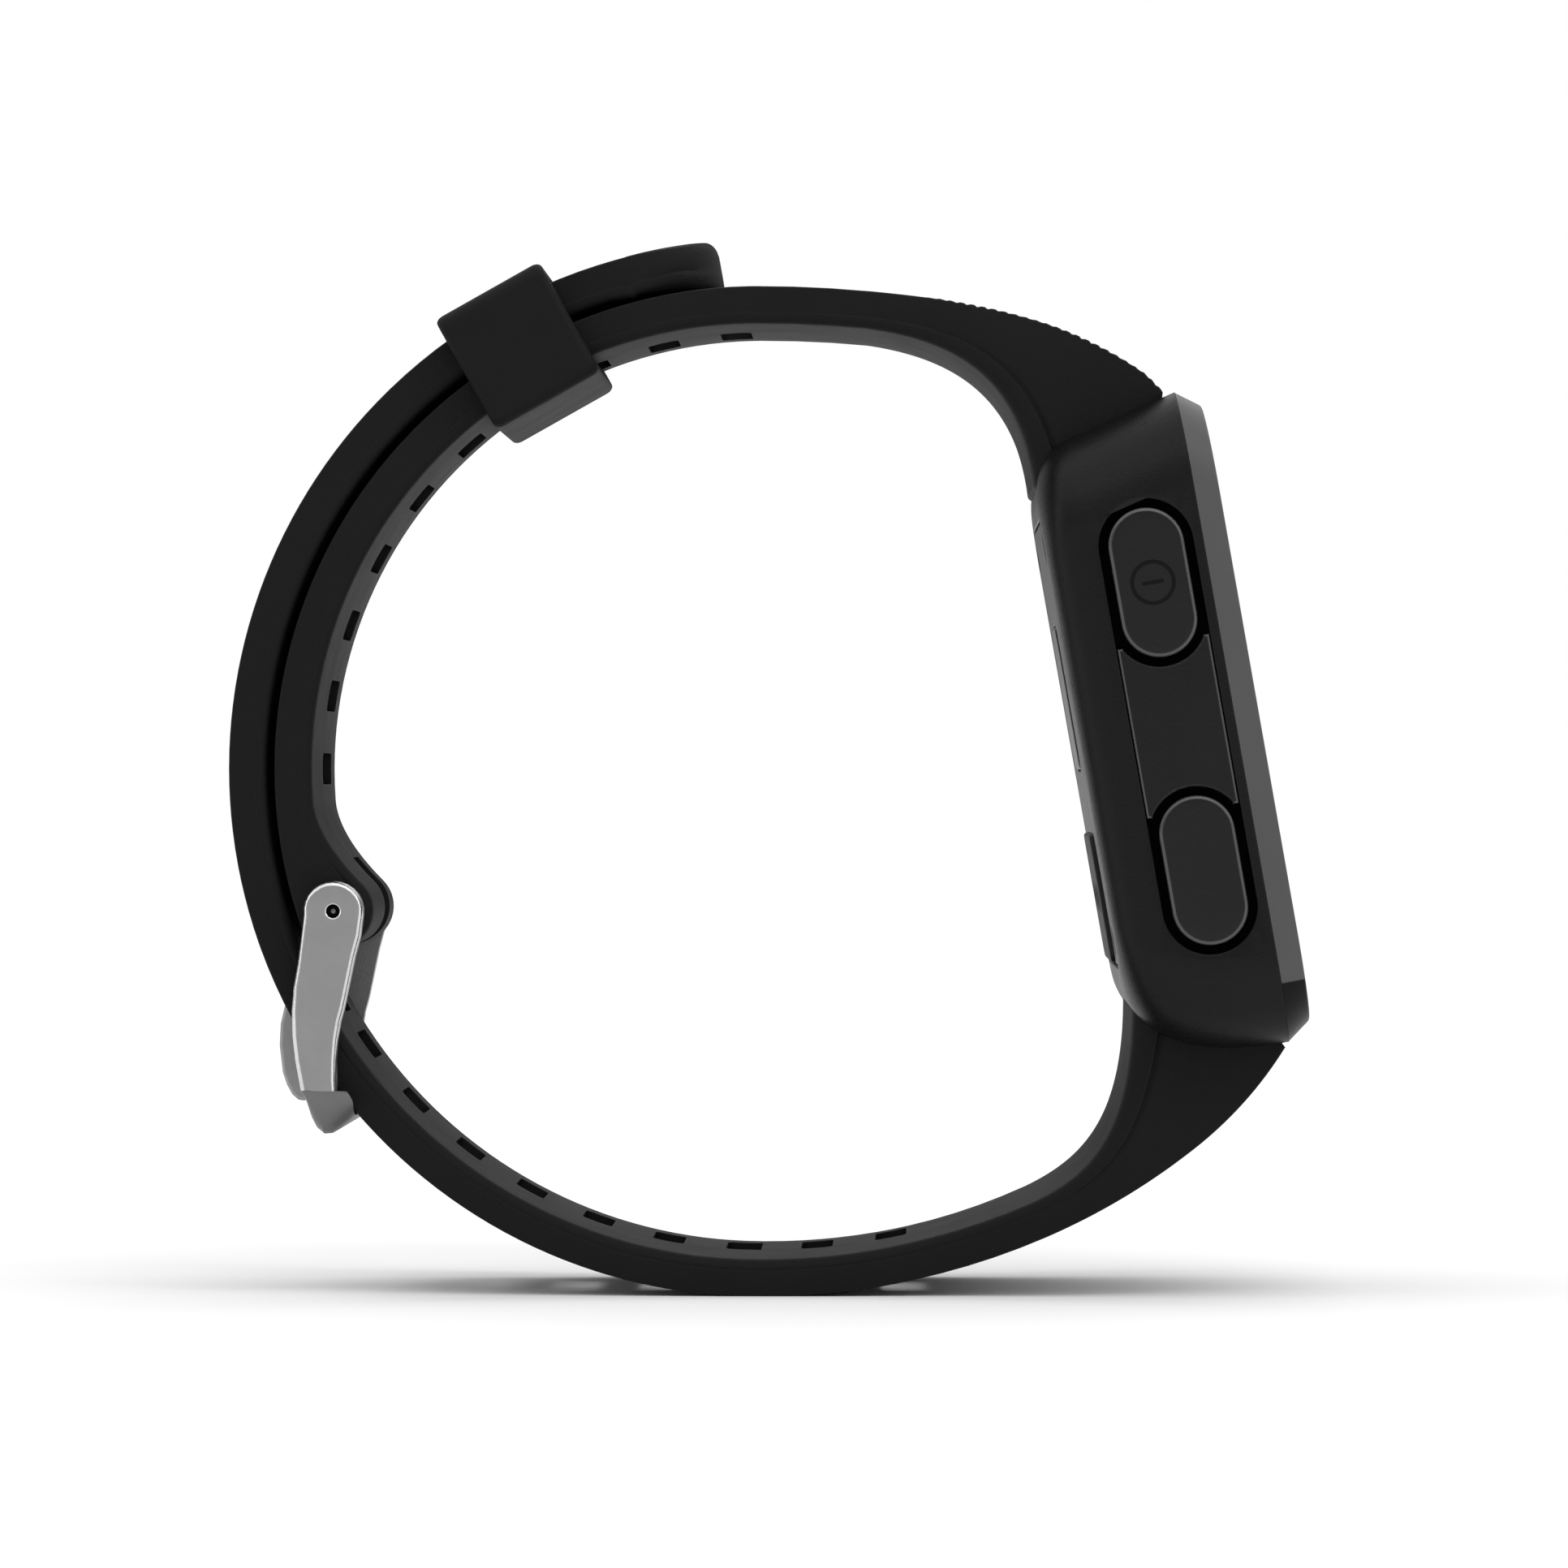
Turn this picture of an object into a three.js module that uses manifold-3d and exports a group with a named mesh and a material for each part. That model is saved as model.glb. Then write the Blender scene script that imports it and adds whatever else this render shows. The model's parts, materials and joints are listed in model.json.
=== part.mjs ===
// A square-faced running watch, buckled shut and standing on the curve of its strap.
// Millimetres, +Z up. +X points out of the display side, -Y is the wearer's left-hand button side.
import * as THREE from 'three';
import { mergeVertices } from 'three/addons/utils/BufferGeometryUtils.js';
import Module from 'manifold-3d';

const wasm = await Module();
wasm.setup();

// ---------------------------------------------------------------- driving dimensions

// Case. Its own frame has x out of the display, y across the wrist and z towards twelve o'clock.
const CASE_TILT = 10;
const CASE_AT = { x: 30.52, z: 36.5 };
const CASE_DEPTH = 11.15;
const CASE_HALF_WIDTH = 17.25;
const CASE_HALF_LENGTH = 20.55;
const FACE_HALF_LENGTH = 19.42;
const CASE_CORNER = 5.6;
const SHOULDER = 1.5;
const BEZEL_DEPTH = 1.5;
const SEAM = 0.1;
const GAP = 0.3;
const CAVITY_HALF_WIDTH = 14.4;
const CAVITY_HALF_LENGTH = 16;
const LEDGE_FRONT = -9;
const LEDGE_BACK = -9.85;
const LENS_HALF_WIDTH = 15.1;
const LENS_HALF_LENGTH = 17.3;
const LENS_THICKNESS = 1;
const COVER_HALF_WIDTH = 13.2;
const COVER_HALF_LENGTH = 14;
const COVER_THICKNESS = 0.95;
const SCREW_AT = { y: 11.7, z: 12.4 };

// Side controls: two keys on each flank, sitting in one long recess.
const KEY_X = -5.05;
const KEY_Z = 9;
const KEY_WIDTH = 4.7;
const KEY_LENGTH = 9.3;
const KEY_OUT = 17.75;
const KEY_THICKNESS = 1.3;
const RECESS_WIDTH = 6.2;
const RECESS_LENGTH = 28.8;
const RECESS_FLOOR = 15.65;
const STEM_RADIUS = 1.1;
const STEM_END = 13.9;
const STEM_BORE_START = 13;
const SEAL_SEAT_RADIUS = 2.4;
const SEAL_SEAT_END = 15.15;
const KEY_MOAT = 0.55;

// Straps. Both faces of a strap are chains of tangent arcs, round the same centres.
const LOOP = { x: -0.6, z: 33.04 };
const HOLE_STRAP_RADIUS = 33.06;
const STRAP_THICKNESS = 2.35;
const LAYER_GAP = 0.5;
const BUCKLE_STRAP_RADIUS = HOLE_STRAP_RADIUS - STRAP_THICKNESS - LAYER_GAP;
const STRAP_HALF_WIDTH = 10;
const LUG_HALF_WIDTH = 12;
const WRIST_EDGE = 0.65;
const SLOT_PITCH = 4.9;
const SLOT_LENGTH = 2.1;
const SLOT_HALF_WIDTH = 3.6;
const BUCKLE_STRAP_SLOTS = 10;
const TAIL_THICKENING = 0.65;

// Buckle and keeper.
const PIN = { x: -26.98, z: 24.13 };
const PIN_RADIUS = 0.65;
const PIN_EYE_RADIUS = 2.38;
const NOTCH_TOP = 2.6;
const ARM_INSIDE = 10.4;
const ARM_OUTSIDE = 12;
const TONGUE_HALF_WIDTH = 1.8;
const TONGUE_ROOM = 0.5;
const KEEPER_ANGLE = 119.4;
const KEEPER_LENGTH = 7.25;
const KEEPER_INSIDE = 26.4;
const KEEPER_OUTSIDE = 34.25;

// ---------------------------------------------------------------- finishes

function finish(color, roughness, metalness) {
  return new THREE.MeshStandardMaterial({ color, roughness, metalness });
}

const BLACK_SHELL = () => finish(0x1d1d1e, 0.5, 0);
const GREY_GLOSS = () => finish(0x5c5c5e, 0.3, 0.4);
const SILICONE = () => finish(0x1b1b1c, 0.65, 0);
const BLASTED_STEEL = () => finish(0x8f8f90, 0.45, 0.9);
const POLISHED_STEEL = () => finish(0xb9b9bb, 0.25, 1);
const DARK_GLASS = () => finish(0x0b0c0e, 0.08, 0);
const SEAL_RUBBER = () => finish(0x141414, 0.8, 0);
const CIRCUIT_BOARD = () => finish(0x1f5a34, 0.6, 0);
const TINNED_STEEL = () => finish(0xa8a9aa, 0.4, 0.9);
const GOLD = () => finish(0xc79a3b, 0.3, 1);
const GREY_PLASTIC = () => finish(0x4a4b4d, 0.6, 0);

// ---------------------------------------------------------------- making and cutting solids

const radians = THREE.MathUtils.degToRad;

function solid(geometry) {
  const bare = geometry.clone();
  bare.deleteAttribute('normal');
  bare.deleteAttribute('uv');
  const merged = mergeVertices(bare, 1e-5);
  return new wasm.Manifold(new wasm.Mesh({
    numProp: 3,
    vertProperties: new Float32Array(merged.attributes.position.array),
    triVerts: new Uint32Array(merged.index.array),
  }));
}

function geometryOf(body) {
  const mesh = body.getMesh();
  const geometry = new THREE.BufferGeometry();
  geometry.setAttribute('position', new THREE.BufferAttribute(new Float32Array(mesh.vertProperties), 3));
  geometry.setIndex(new THREE.BufferAttribute(new Uint32Array(mesh.triVerts), 1));
  geometry.computeVertexNormals();
  return geometry;
}

function extruded(shape, depth, curveSegments, bevel = 0, bevelSegments = 1) {
  return new THREE.ExtrudeGeometry(shape, {
    depth: depth - 2 * bevel,
    curveSegments,
    bevelEnabled: bevel > 0,
    bevelThickness: bevel,
    bevelSize: bevel,
    bevelOffset: -bevel,
    bevelSegments,
  }).translate(0, 0, bevel);
}

const axes = (x, y, z) => new THREE.Matrix4().makeBasis(
  new THREE.Vector3(...x), new THREE.Vector3(...y), new THREE.Vector3(...z));
const SIDE_ON = axes([1, 0, 0], [0, 0, 1], [0, -1, 0]);
const FACE_ON = axes([0, 1, 0], [0, 0, 1], [1, 0, 0]);

// An outline drawn in x and z, run across from y = low to y = high.
function across(shape, low, high, { curveSegments = 6, bevel = 0, bevelSegments = 1 } = {}) {
  const geometry = extruded(shape, high - low, curveSegments, bevel, bevelSegments);
  return geometry.applyMatrix4(SIDE_ON).translate(0, high, 0);
}

// An outline drawn in y and z, run from x = back to x = front.
function frontward(shape, back, front, { curveSegments = 4, bevel = 0, bevelSegments = 1 } = {}) {
  const geometry = extruded(shape, front - back, curveSegments, bevel, bevelSegments);
  return geometry.applyMatrix4(FACE_ON).translate(back, 0, 0);
}

// An outline drawn in x and y, run from z = low to z = high.
function upward(shape, low, high, { curveSegments = 6 } = {}) {
  return extruded(shape, high - low, curveSegments).translate(0, 0, low);
}

function box(x0, x1, y0, y1, z0, z1) {
  const geometry = new THREE.BoxGeometry(x1 - x0, y1 - y0, z1 - z0);
  return geometry.translate((x0 + x1) / 2, (y0 + y1) / 2, (z0 + z1) / 2);
}

// A round bar along y between two ends, given in either order.
function bar(radius, x, z, from, to, sides = 20) {
  const geometry = new THREE.CylinderGeometry(radius, radius, Math.abs(to - from), sides);
  return geometry.translate(x, (from + to) / 2, z);
}

// A round bar along x.
function stud(radius, back, front, y, z, sides = 20) {
  const geometry = new THREE.CylinderGeometry(radius, radius, front - back, sides).rotateZ(Math.PI / 2);
  return geometry.translate((back + front) / 2, y, z);
}

function roundedRectangle(halfA, halfB, radius, a = 0, b = 0) {
  const shape = new THREE.Shape();
  const quarter = Math.PI / 2;
  shape.absarc(a + halfA - radius, b + halfB - radius, radius, 0, quarter);
  shape.absarc(a - halfA + radius, b + halfB - radius, radius, quarter, 2 * quarter);
  shape.absarc(a - halfA + radius, b - halfB + radius, radius, 2 * quarter, 3 * quarter);
  shape.absarc(a + halfA - radius, b - halfB + radius, radius, 3 * quarter, 4 * quarter);
  return shape;
}

const pill = (a, b, width, length) => roundedRectangle(width / 2, length / 2, width / 2, a, b);

function polygon(points) {
  return new THREE.Shape(points.map(([a, b]) => new THREE.Vector2(a, b)));
}

// ---------------------------------------------------------------- the assembly

const watch = new THREE.Group();
const caseGroup = new THREE.Group();
caseGroup.position.set(CASE_AT.x, 0, CASE_AT.z);
caseGroup.rotation.y = -radians(CASE_TILT);
caseGroup.updateMatrix();
watch.add(caseGroup);

function place(group, name, geometry, material) {
  const mesh = new THREE.Mesh(geometry, material);
  mesh.name = name;
  group.add(mesh);
}

const fromCase = (geometry) => geometry.clone().applyMatrix4(caseGroup.matrix);

// ---------------------------------------------------------------- case shell

// The case seen from the side, x out of the display and z along its length, grown by some clearance.
function caseSide(grow = 0) {
  const shape = new THREE.Shape();
  const back = -CASE_DEPTH - grow;
  shape.moveTo(grow, FACE_HALF_LENGTH + grow);
  shape.lineTo(-SHOULDER, CASE_HALF_LENGTH + grow);
  shape.lineTo(-8.9, 18.72 + grow);
  shape.bezierCurveTo(-10.2 - grow, 18.3 + grow, back + 0.1, 16.9 + grow, back, 14.9);
  shape.lineTo(back, -15.2);
  shape.bezierCurveTo(back + 0.1, -17.1 - grow, -9.6, -19.35 - grow, -6.2, -20.08 - grow);
  shape.bezierCurveTo(-4.8, -20.4 - grow, -3.3, -CASE_HALF_LENGTH - grow,
    -SHOULDER, -CASE_HALF_LENGTH - grow);
  shape.lineTo(grow, -FACE_HALF_LENGTH - grow);
  return shape;
}

// The case seen along its length: straight flanks that roll over into the back.
function caseEnd() {
  const shape = new THREE.Shape();
  const half = CASE_HALF_WIDTH;
  shape.moveTo(1, -half);
  shape.lineTo(1, half);
  shape.lineTo(-8.6, half);
  shape.bezierCurveTo(-10.2, half, -CASE_DEPTH, half - 1, -CASE_DEPTH, half - 2.7);
  shape.lineTo(-CASE_DEPTH, 2.7 - half);
  shape.bezierCurveTo(-CASE_DEPTH, 1 - half, -10.2, -half, -8.6, -half);
  return shape;
}

function caseBlank() {
  const half = CASE_HALF_WIDTH;
  const plan = roundedRectangle(half, CASE_HALF_LENGTH + 0.2, CASE_CORNER);
  return solid(across(caseSide(), -half - 1, half + 1, { curveSegments: 5 }))
    .intersect(solid(frontward(plan, -CASE_DEPTH - 1, 2, { curveSegments: 6 })))
    .intersect(solid(upward(caseEnd(), -30, 30, { curveSegments: 5 })));
}

const SIDES = [{ name: 'left', sign: -1 }, { name: 'right', sign: 1 }];
const KEYS = [{ name: 'upper', z: KEY_Z }, { name: 'lower', z: -KEY_Z }];

const inOrder = (a, b) => [Math.min(a, b), Math.max(a, b)];

// Runs an outline from depth y = inner to y = outer on one flank.
function onFlank(shape, sign, inner, outer, options) {
  return across(shape, ...inOrder(sign * inner, sign * outer), options);
}

function lensOpening(grow, back, front) {
  const shape = roundedRectangle(LENS_HALF_WIDTH + grow, LENS_HALF_LENGTH + grow, 3.4 + grow);
  return solid(frontward(shape, back, front));
}

const LENS_FRONT = -0.08;
const LENS_BACK = LENS_FRONT - LENS_THICKNESS;

function makeBezel() {
  const slab = solid(box(-BEZEL_DEPTH, 1, -20, 20, -25, 25));
  return caseBlank().intersect(slab).subtract(lensOpening(0.12, -5, 2));
}

const TAB = { back: -6.9, front: -4.7, halfWidth: 7, reach: 17.3 };
const TAB_PIN = { x: -5.8, z: 18.15, radius: 0.6, halfLength: 9.2 };

function strapPocket(end) {
  const halfWidth = TAB.halfWidth + GAP;
  const reach = inOrder(end * (TAB.reach - GAP), end * 24);
  const pocket = solid(box(TAB.back - GAP, TAB.front + GAP, -halfWidth, halfWidth, ...reach));
  const bore = solid(bar(TAB_PIN.radius + GAP, TAB_PIN.x, end * TAB_PIN.z, -9.5, 9.5));
  return pocket.add(bore);
}

function makeMidCase() {
  let shell = caseBlank().intersect(solid(box(-20, -BEZEL_DEPTH - SEAM, -20, 20, -25, 25)));
  const cavity = roundedRectangle(CAVITY_HALF_WIDTH, CAVITY_HALF_LENGTH, 2.5);
  const ledge = roundedRectangle(11.8, 12.6, 5);
  const seat = roundedRectangle(COVER_HALF_WIDTH + GAP, COVER_HALF_LENGTH + GAP, 2.8);
  shell = shell.subtract(solid(frontward(cavity, LEDGE_FRONT, 1)));
  shell = shell.subtract(solid(frontward(ledge, -12, LEDGE_FRONT + 1)));
  shell = shell.subtract(solid(frontward(seat, -14, LEDGE_BACK)));
  for (const end of [-1, 1]) shell = shell.subtract(strapPocket(end));
  for (const { sign } of SIDES) {
    const recess = pill(KEY_X, 0, RECESS_WIDTH, RECESS_LENGTH);
    shell = shell.subtract(solid(onFlank(recess, sign, RECESS_FLOOR, 20)));
    for (const { z } of KEYS) {
      const bore = bar(STEM_RADIUS + GAP, KEY_X, z, sign * STEM_BORE_START, sign * 17);
      const sealSeat = bar(SEAL_SEAT_RADIUS, KEY_X, z, sign * STEM_BORE_START, sign * SEAL_SEAT_END);
      shell = shell.subtract(solid(bore)).subtract(solid(sealSeat));
    }
    for (const end of [-1, 1]) {
      const hole = stud(0.8, -12, LEDGE_FRONT + 0.5, sign * SCREW_AT.y, end * SCREW_AT.z, 16);
      shell = shell.subtract(solid(hole));
    }
  }
  return shell;
}

place(caseGroup, 'mid_case', geometryOf(makeMidCase()), BLACK_SHELL());
place(caseGroup, 'bezel', geometryOf(makeBezel()), GREY_GLOSS());
place(caseGroup, 'lens', frontward(roundedRectangle(LENS_HALF_WIDTH, LENS_HALF_LENGTH, 3.4),
  LENS_BACK, LENS_FRONT, { bevel: 0.15 }), DARK_GLASS());

// ---------------------------------------------------------------- flank inlays and keys

// The land between the two keys, hollowed at its ends to follow their round ends.
function makeInlay(sign) {
  const outline = roundedRectangle(2.95, 4.2, 0.15, KEY_X, 0);
  let inlay = solid(onFlank(outline, sign, RECESS_FLOOR + 0.15, CASE_HALF_WIDTH));
  for (const { z } of KEYS) {
    const hollow = pill(KEY_X, z, KEY_WIDTH + 2 * KEY_MOAT, KEY_LENGTH + 2 * KEY_MOAT);
    inlay = inlay.subtract(solid(onFlank(hollow, sign, 14, 19)));
  }
  return inlay;
}

function makeKey(sign, z) {
  const inner = KEY_OUT - KEY_THICKNESS;
  const outline = pill(KEY_X, z, KEY_WIDTH, KEY_LENGTH);
  const cap = solid(onFlank(outline, sign, inner, KEY_OUT, { curveSegments: 6, bevel: 0.3 }));
  const stem = bar(STEM_RADIUS, KEY_X, z, sign * STEM_END, sign * (inner + 0.5));
  return cap.add(solid(stem));
}

// A soft ring round each stem, on the inner side of the flank wall.
function makeStemSeal(sign, z) {
  const ring = new THREE.Shape().absarc(1.8, 0, 0.32, 0, 2 * Math.PI);
  const geometry = new THREE.LatheGeometry(ring.getPoints(2), 14);
  return geometry.translate(KEY_X, sign * 14.75, z);
}

for (const { name, sign } of SIDES) {
  place(caseGroup, `${name}_inlay`, geometryOf(makeInlay(sign)), BLACK_SHELL());
  for (const key of KEYS) {
    place(caseGroup, `${name}_${key.name}_key`, geometryOf(makeKey(sign, key.z)), BLACK_SHELL());
    place(caseGroup, `${name}_${key.name}_key_seal`, makeStemSeal(sign, key.z), SEAL_RUBBER());
    const reach = inOrder(sign * 11.75, sign * 13.05);
    place(caseGroup, `${name}_${key.name}_switch`,
      box(-6.3, -4, ...reach, key.z - 2.1, key.z + 2.1), TINNED_STEEL());
  }
}

// ---------------------------------------------------------------- inside the case

function ringPlate(outer, inner, back, front) {
  const inside = solid(frontward(inner, back - 1, front + 1));
  return geometryOf(solid(frontward(outer, back, front)).subtract(inside));
}

const lensSeal = ringPlate(roundedRectangle(14.3, 15.9, 2.3), roundedRectangle(13.5, 15.1, 1.5), -1.5, -1.2);
place(caseGroup, 'lens_gasket', lensSeal, SEAL_RUBBER());
place(caseGroup, 'display_module', frontward(roundedRectangle(12.9, 13.9, 0.6), -3, -1.7,
  { curveSegments: 2 }), DARK_GLASS());

function makeDisplayCarrier() {
  const tray = solid(frontward(roundedRectangle(14.1, 15.7, 2.3), -3.8, -1.9));
  const pocket = solid(box(-3.2, 1, -13.2, 13.2, -14.2, 14.2));
  const window = solid(box(-5, 1, -9, 9, -9, 9));
  return tray.subtract(pocket).subtract(window);
}

place(caseGroup, 'display_carrier', geometryOf(makeDisplayCarrier()), GREY_PLASTIC());

function makeMainBoard() {
  const outline = polygon([
    [-11.4, -13.2], [-9, -15.2], [9, -15.2], [11.4, -13.2],
    [11.4, 13.2], [9, 15.2], [-9, 15.2], [-11.4, 13.2],
  ]);
  return frontward(outline, -4.9, -4.1);
}

place(caseGroup, 'main_board', makeMainBoard(), CIRCUIT_BOARD());
place(caseGroup, 'shield_can', box(-6.3, -5.2, -10.8, 1.2, 1, 14), TINNED_STEEL());
place(caseGroup, 'gps_antenna', box(-7.1, -5.2, 2, 11, 4.4, 13.4), finish(0xb7a487, 0.7, 0));
place(caseGroup, 'battery', frontward(roundedRectangle(10.6, 7.4, 1.2, 0, -4.6), -8.75, -6.6,
  { curveSegments: 3 }), TINNED_STEEL());
place(caseGroup, 'vibration_motor', stud(4, -8.8, -6.6, -6.6, 8.4, 24), TINNED_STEEL());
place(caseGroup, 'buzzer', stud(4.2, -8.8, -7.4, 6.4, 8.4, 24), GOLD());
place(caseGroup, 'sensor_board', frontward(roundedRectangle(7.4, 5.6, 0.8, 0, 3), -9.7, -9.1,
  { curveSegments: 2 }), CIRCUIT_BOARD());

// ---------------------------------------------------------------- back of the case

const WINDOW = { z: 3, halfWidth: 5.6, halfLength: 4.6 };
const CONTACT_BLOCK = { z: -9.8, halfWidth: 8, halfLength: 4.1, proud: 0.3 };
const CONTACT_PITCH = 3.2;
const COVER_BACK = -CASE_DEPTH;
const COVER_FRONT = COVER_BACK + COVER_THICKNESS;

function windowOutline(grow = 0) {
  return roundedRectangle(WINDOW.halfWidth + grow, WINDOW.halfLength + grow, 1.8 + grow, 0, WINDOW.z);
}

function blockOutline(grow = 0) {
  const { halfWidth, halfLength, z } = CONTACT_BLOCK;
  return roundedRectangle(halfWidth + grow, halfLength + grow, 1 + grow, 0, z);
}

function forEachCorner(visit) {
  for (const y of [-SCREW_AT.y, SCREW_AT.y]) {
    for (const z of [-SCREW_AT.z, SCREW_AT.z]) visit(y, z);
  }
}

function makeBackCover() {
  const outline = roundedRectangle(COVER_HALF_WIDTH, COVER_HALF_LENGTH, 2.5);
  let cover = solid(frontward(outline, COVER_BACK, COVER_FRONT));
  cover = cover.subtract(solid(frontward(windowOutline(GAP), -14, -8)));
  cover = cover.subtract(solid(frontward(blockOutline(GAP), -14, -8)));
  forEachCorner((y, z) => {
    cover = cover.subtract(solid(stud(0.8, -14, -8, y, z, 16)));
    cover = cover.subtract(solid(stud(1.3, -14, COVER_BACK + 0.6, y, z, 16)));
  });
  return cover;
}

place(caseGroup, 'back_cover', geometryOf(makeBackCover()), BLACK_SHELL());
const backSealInside = roundedRectangle(12.8, 13.6, 2.1);
const backSeal = ringPlate(roundedRectangle(13.1, 13.9, 2.4), backSealInside, -10.1, -9.95);
place(caseGroup, 'back_gasket', backSeal, SEAL_RUBBER());
place(caseGroup, 'sensor_window', frontward(windowOutline(), COVER_BACK - 0.1, COVER_FRONT,
  { bevel: 0.12 }), DARK_GLASS());

const contactY = [-1.5, -0.5, 0.5, 1.5].map((step) => step * CONTACT_PITCH);

function makeContactBlock() {
  const back = COVER_BACK - CONTACT_BLOCK.proud;
  let block = solid(frontward(blockOutline(), back, COVER_FRONT, { bevel: 0.15 }));
  for (const y of contactY) {
    block = block.subtract(solid(stud(0.95, -14, -8, y, CONTACT_BLOCK.z, 16)));
  }
  return block;
}

place(caseGroup, 'contact_block', geometryOf(makeContactBlock()), GREY_PLASTIC());
contactY.forEach((y, index) => {
  place(caseGroup, `charge_contact_${index + 1}`,
    stud(0.7, COVER_BACK - CONTACT_BLOCK.proud + 0.05, -9.5, y, CONTACT_BLOCK.z, 16), GOLD());
});

let screwNumber = 0;
forEachCorner((y, z) => {
  screwNumber += 1;
  const head = solid(stud(1.05, COVER_BACK + 0.05, COVER_BACK + 0.5, y, z, 16));
  const shank = solid(stud(0.5, COVER_BACK + 0.3, LEDGE_FRONT + 0.1, y, z, 16));
  const slot = solid(box(-12, COVER_BACK + 0.25, y - 0.12, y + 0.12, z - 0.7, z + 0.7));
  const screw = geometryOf(head.add(shank).subtract(slot));
  place(caseGroup, `back_screw_${screwNumber}`, screw, POLISHED_STEEL());
});

for (const { name, end } of [{ name: 'upper', end: 1 }, { name: 'lower', end: -1 }]) {
  place(caseGroup, `${name}_strap_pin`, bar(TAB_PIN.radius, TAB_PIN.x, end * TAB_PIN.z,
    -TAB_PIN.halfLength, TAB_PIN.halfLength, 16), POLISHED_STEEL());
}

// ---------------------------------------------------------------- strap lines

// Follows tangent arcs. Each entry gives the face radius and the angle at which its arc ends.
function arcChain(centre, fromAngle, arcs) {
  let { x, z } = centre;
  let start = fromAngle;
  return arcs.map(({ radius, to }, index) => {
    if (index > 0) {
      const shift = arcs[index - 1].radius - radius;
      x += shift * Math.cos(radians(start));
      z += shift * Math.sin(radians(start));
    }
    const arc = { x, z, radius, from: start, to };
    start = to;
    return arc;
  });
}

const onArc = (arc, angle, offset) => [
  arc.x + (arc.radius + offset) * Math.cos(radians(angle)),
  arc.z + (arc.radius + offset) * Math.sin(radians(angle)),
];

// Points along a chain, a set distance outside (or, if negative, inside) its face line.
function chainPoints(chain, offset, step = 5) {
  const points = [onArc(chain[0], chain[0].from, offset)];
  for (const arc of chain) {
    const count = Math.max(1, Math.ceil(Math.abs(arc.to - arc.from) / step));
    for (let i = 1; i <= count; i += 1) {
      points.push(onArc(arc, arc.from + (arc.to - arc.from) * (i / count), offset));
    }
  }
  return points;
}

function curvePoints(start, first, second, end, count) {
  const handles = [start, first, second, end].map(([x, z]) => new THREE.Vector2(x, z));
  return new THREE.CubicBezierCurve(...handles).getPoints(count).slice(1, -1).map(({ x, y }) => [x, y]);
}

// Widens a strap from the loop width to the lug width as it nears the case.
function widenTowardsCase(geometry, from, to) {
  const position = geometry.attributes.position;
  for (let i = 0; i < position.count; i += 1) {
    const share = THREE.MathUtils.smoothstep(position.getX(i), from, to);
    position.setY(i, position.getY(i) * (1 + share * (LUG_HALF_WIDTH / STRAP_HALF_WIDTH - 1)));
  }
  return geometry;
}

// A strap body: square outer edges, rounded edges on the wrist side. The first outline is exact on
// the outer face and the second on the wrist face.
function strapBody(outerExact, wristExact, widen) {
  const half = STRAP_HALF_WIDTH;
  const outer = widenTowardsCase(across(polygon(outerExact), -half, half), ...widen);
  const wrist = widenTowardsCase(across(polygon(wristExact), -half, half,
    { bevel: WRIST_EDGE, bevelSegments: 2 }), ...widen);
  return solid(outer).intersect(solid(wrist));
}

// A slot through a strap, square to it, at an angle on one of its arcs.
function slotCutter(arc, angle, length, halfWidth) {
  const radius = arc.radius - STRAP_THICKNESS / 2;
  const geometry = box(-4, 4, -halfWidth, halfWidth, -length / 2, length / 2);
  const [x, z] = onArc(arc, angle, radius - arc.radius);
  return solid(geometry.rotateY(-radians(angle)).translate(x, 0, z));
}

// The angle on an arc from one slot to the next.
function slotStep(arc) {
  return THREE.MathUtils.radToDeg(SLOT_PITCH / (arc.radius - STRAP_THICKNESS / 2));
}

function tabSolid(end) {
  const reach = inOrder(end * TAB.reach, end * 23);
  const tab = solid(fromCase(box(TAB.back, TAB.front, -TAB.halfWidth, TAB.halfWidth, ...reach)));
  const bore = solid(fromCase(bar(TAB_PIN.radius + GAP, TAB_PIN.x, end * TAB_PIN.z, -12, 12)));
  return { tab, bore };
}

const caseClearance = solid(fromCase(across(caseSide(GAP), -20, 20, { curveSegments: 5 })));

// ---------------------------------------------------------------- buckle strap (upper half)

const buckleArcs = arcChain(LOOP, 199, [
  { radius: BUCKLE_STRAP_RADIUS, to: 90.1 },
  { radius: 74, to: 81.6 },
  { radius: 53.1, to: 74.35 },
  { radius: 23.7, to: 51.5 },
]);

function pinCircle(radius, from, to, count) {
  return Array.from({ length: count + 1 }, (_, i) => {
    const angle = radians(from + (to - from) * (i / count));
    return [PIN.x + radius * Math.cos(angle), PIN.z + radius * Math.sin(angle)];
  });
}

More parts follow.
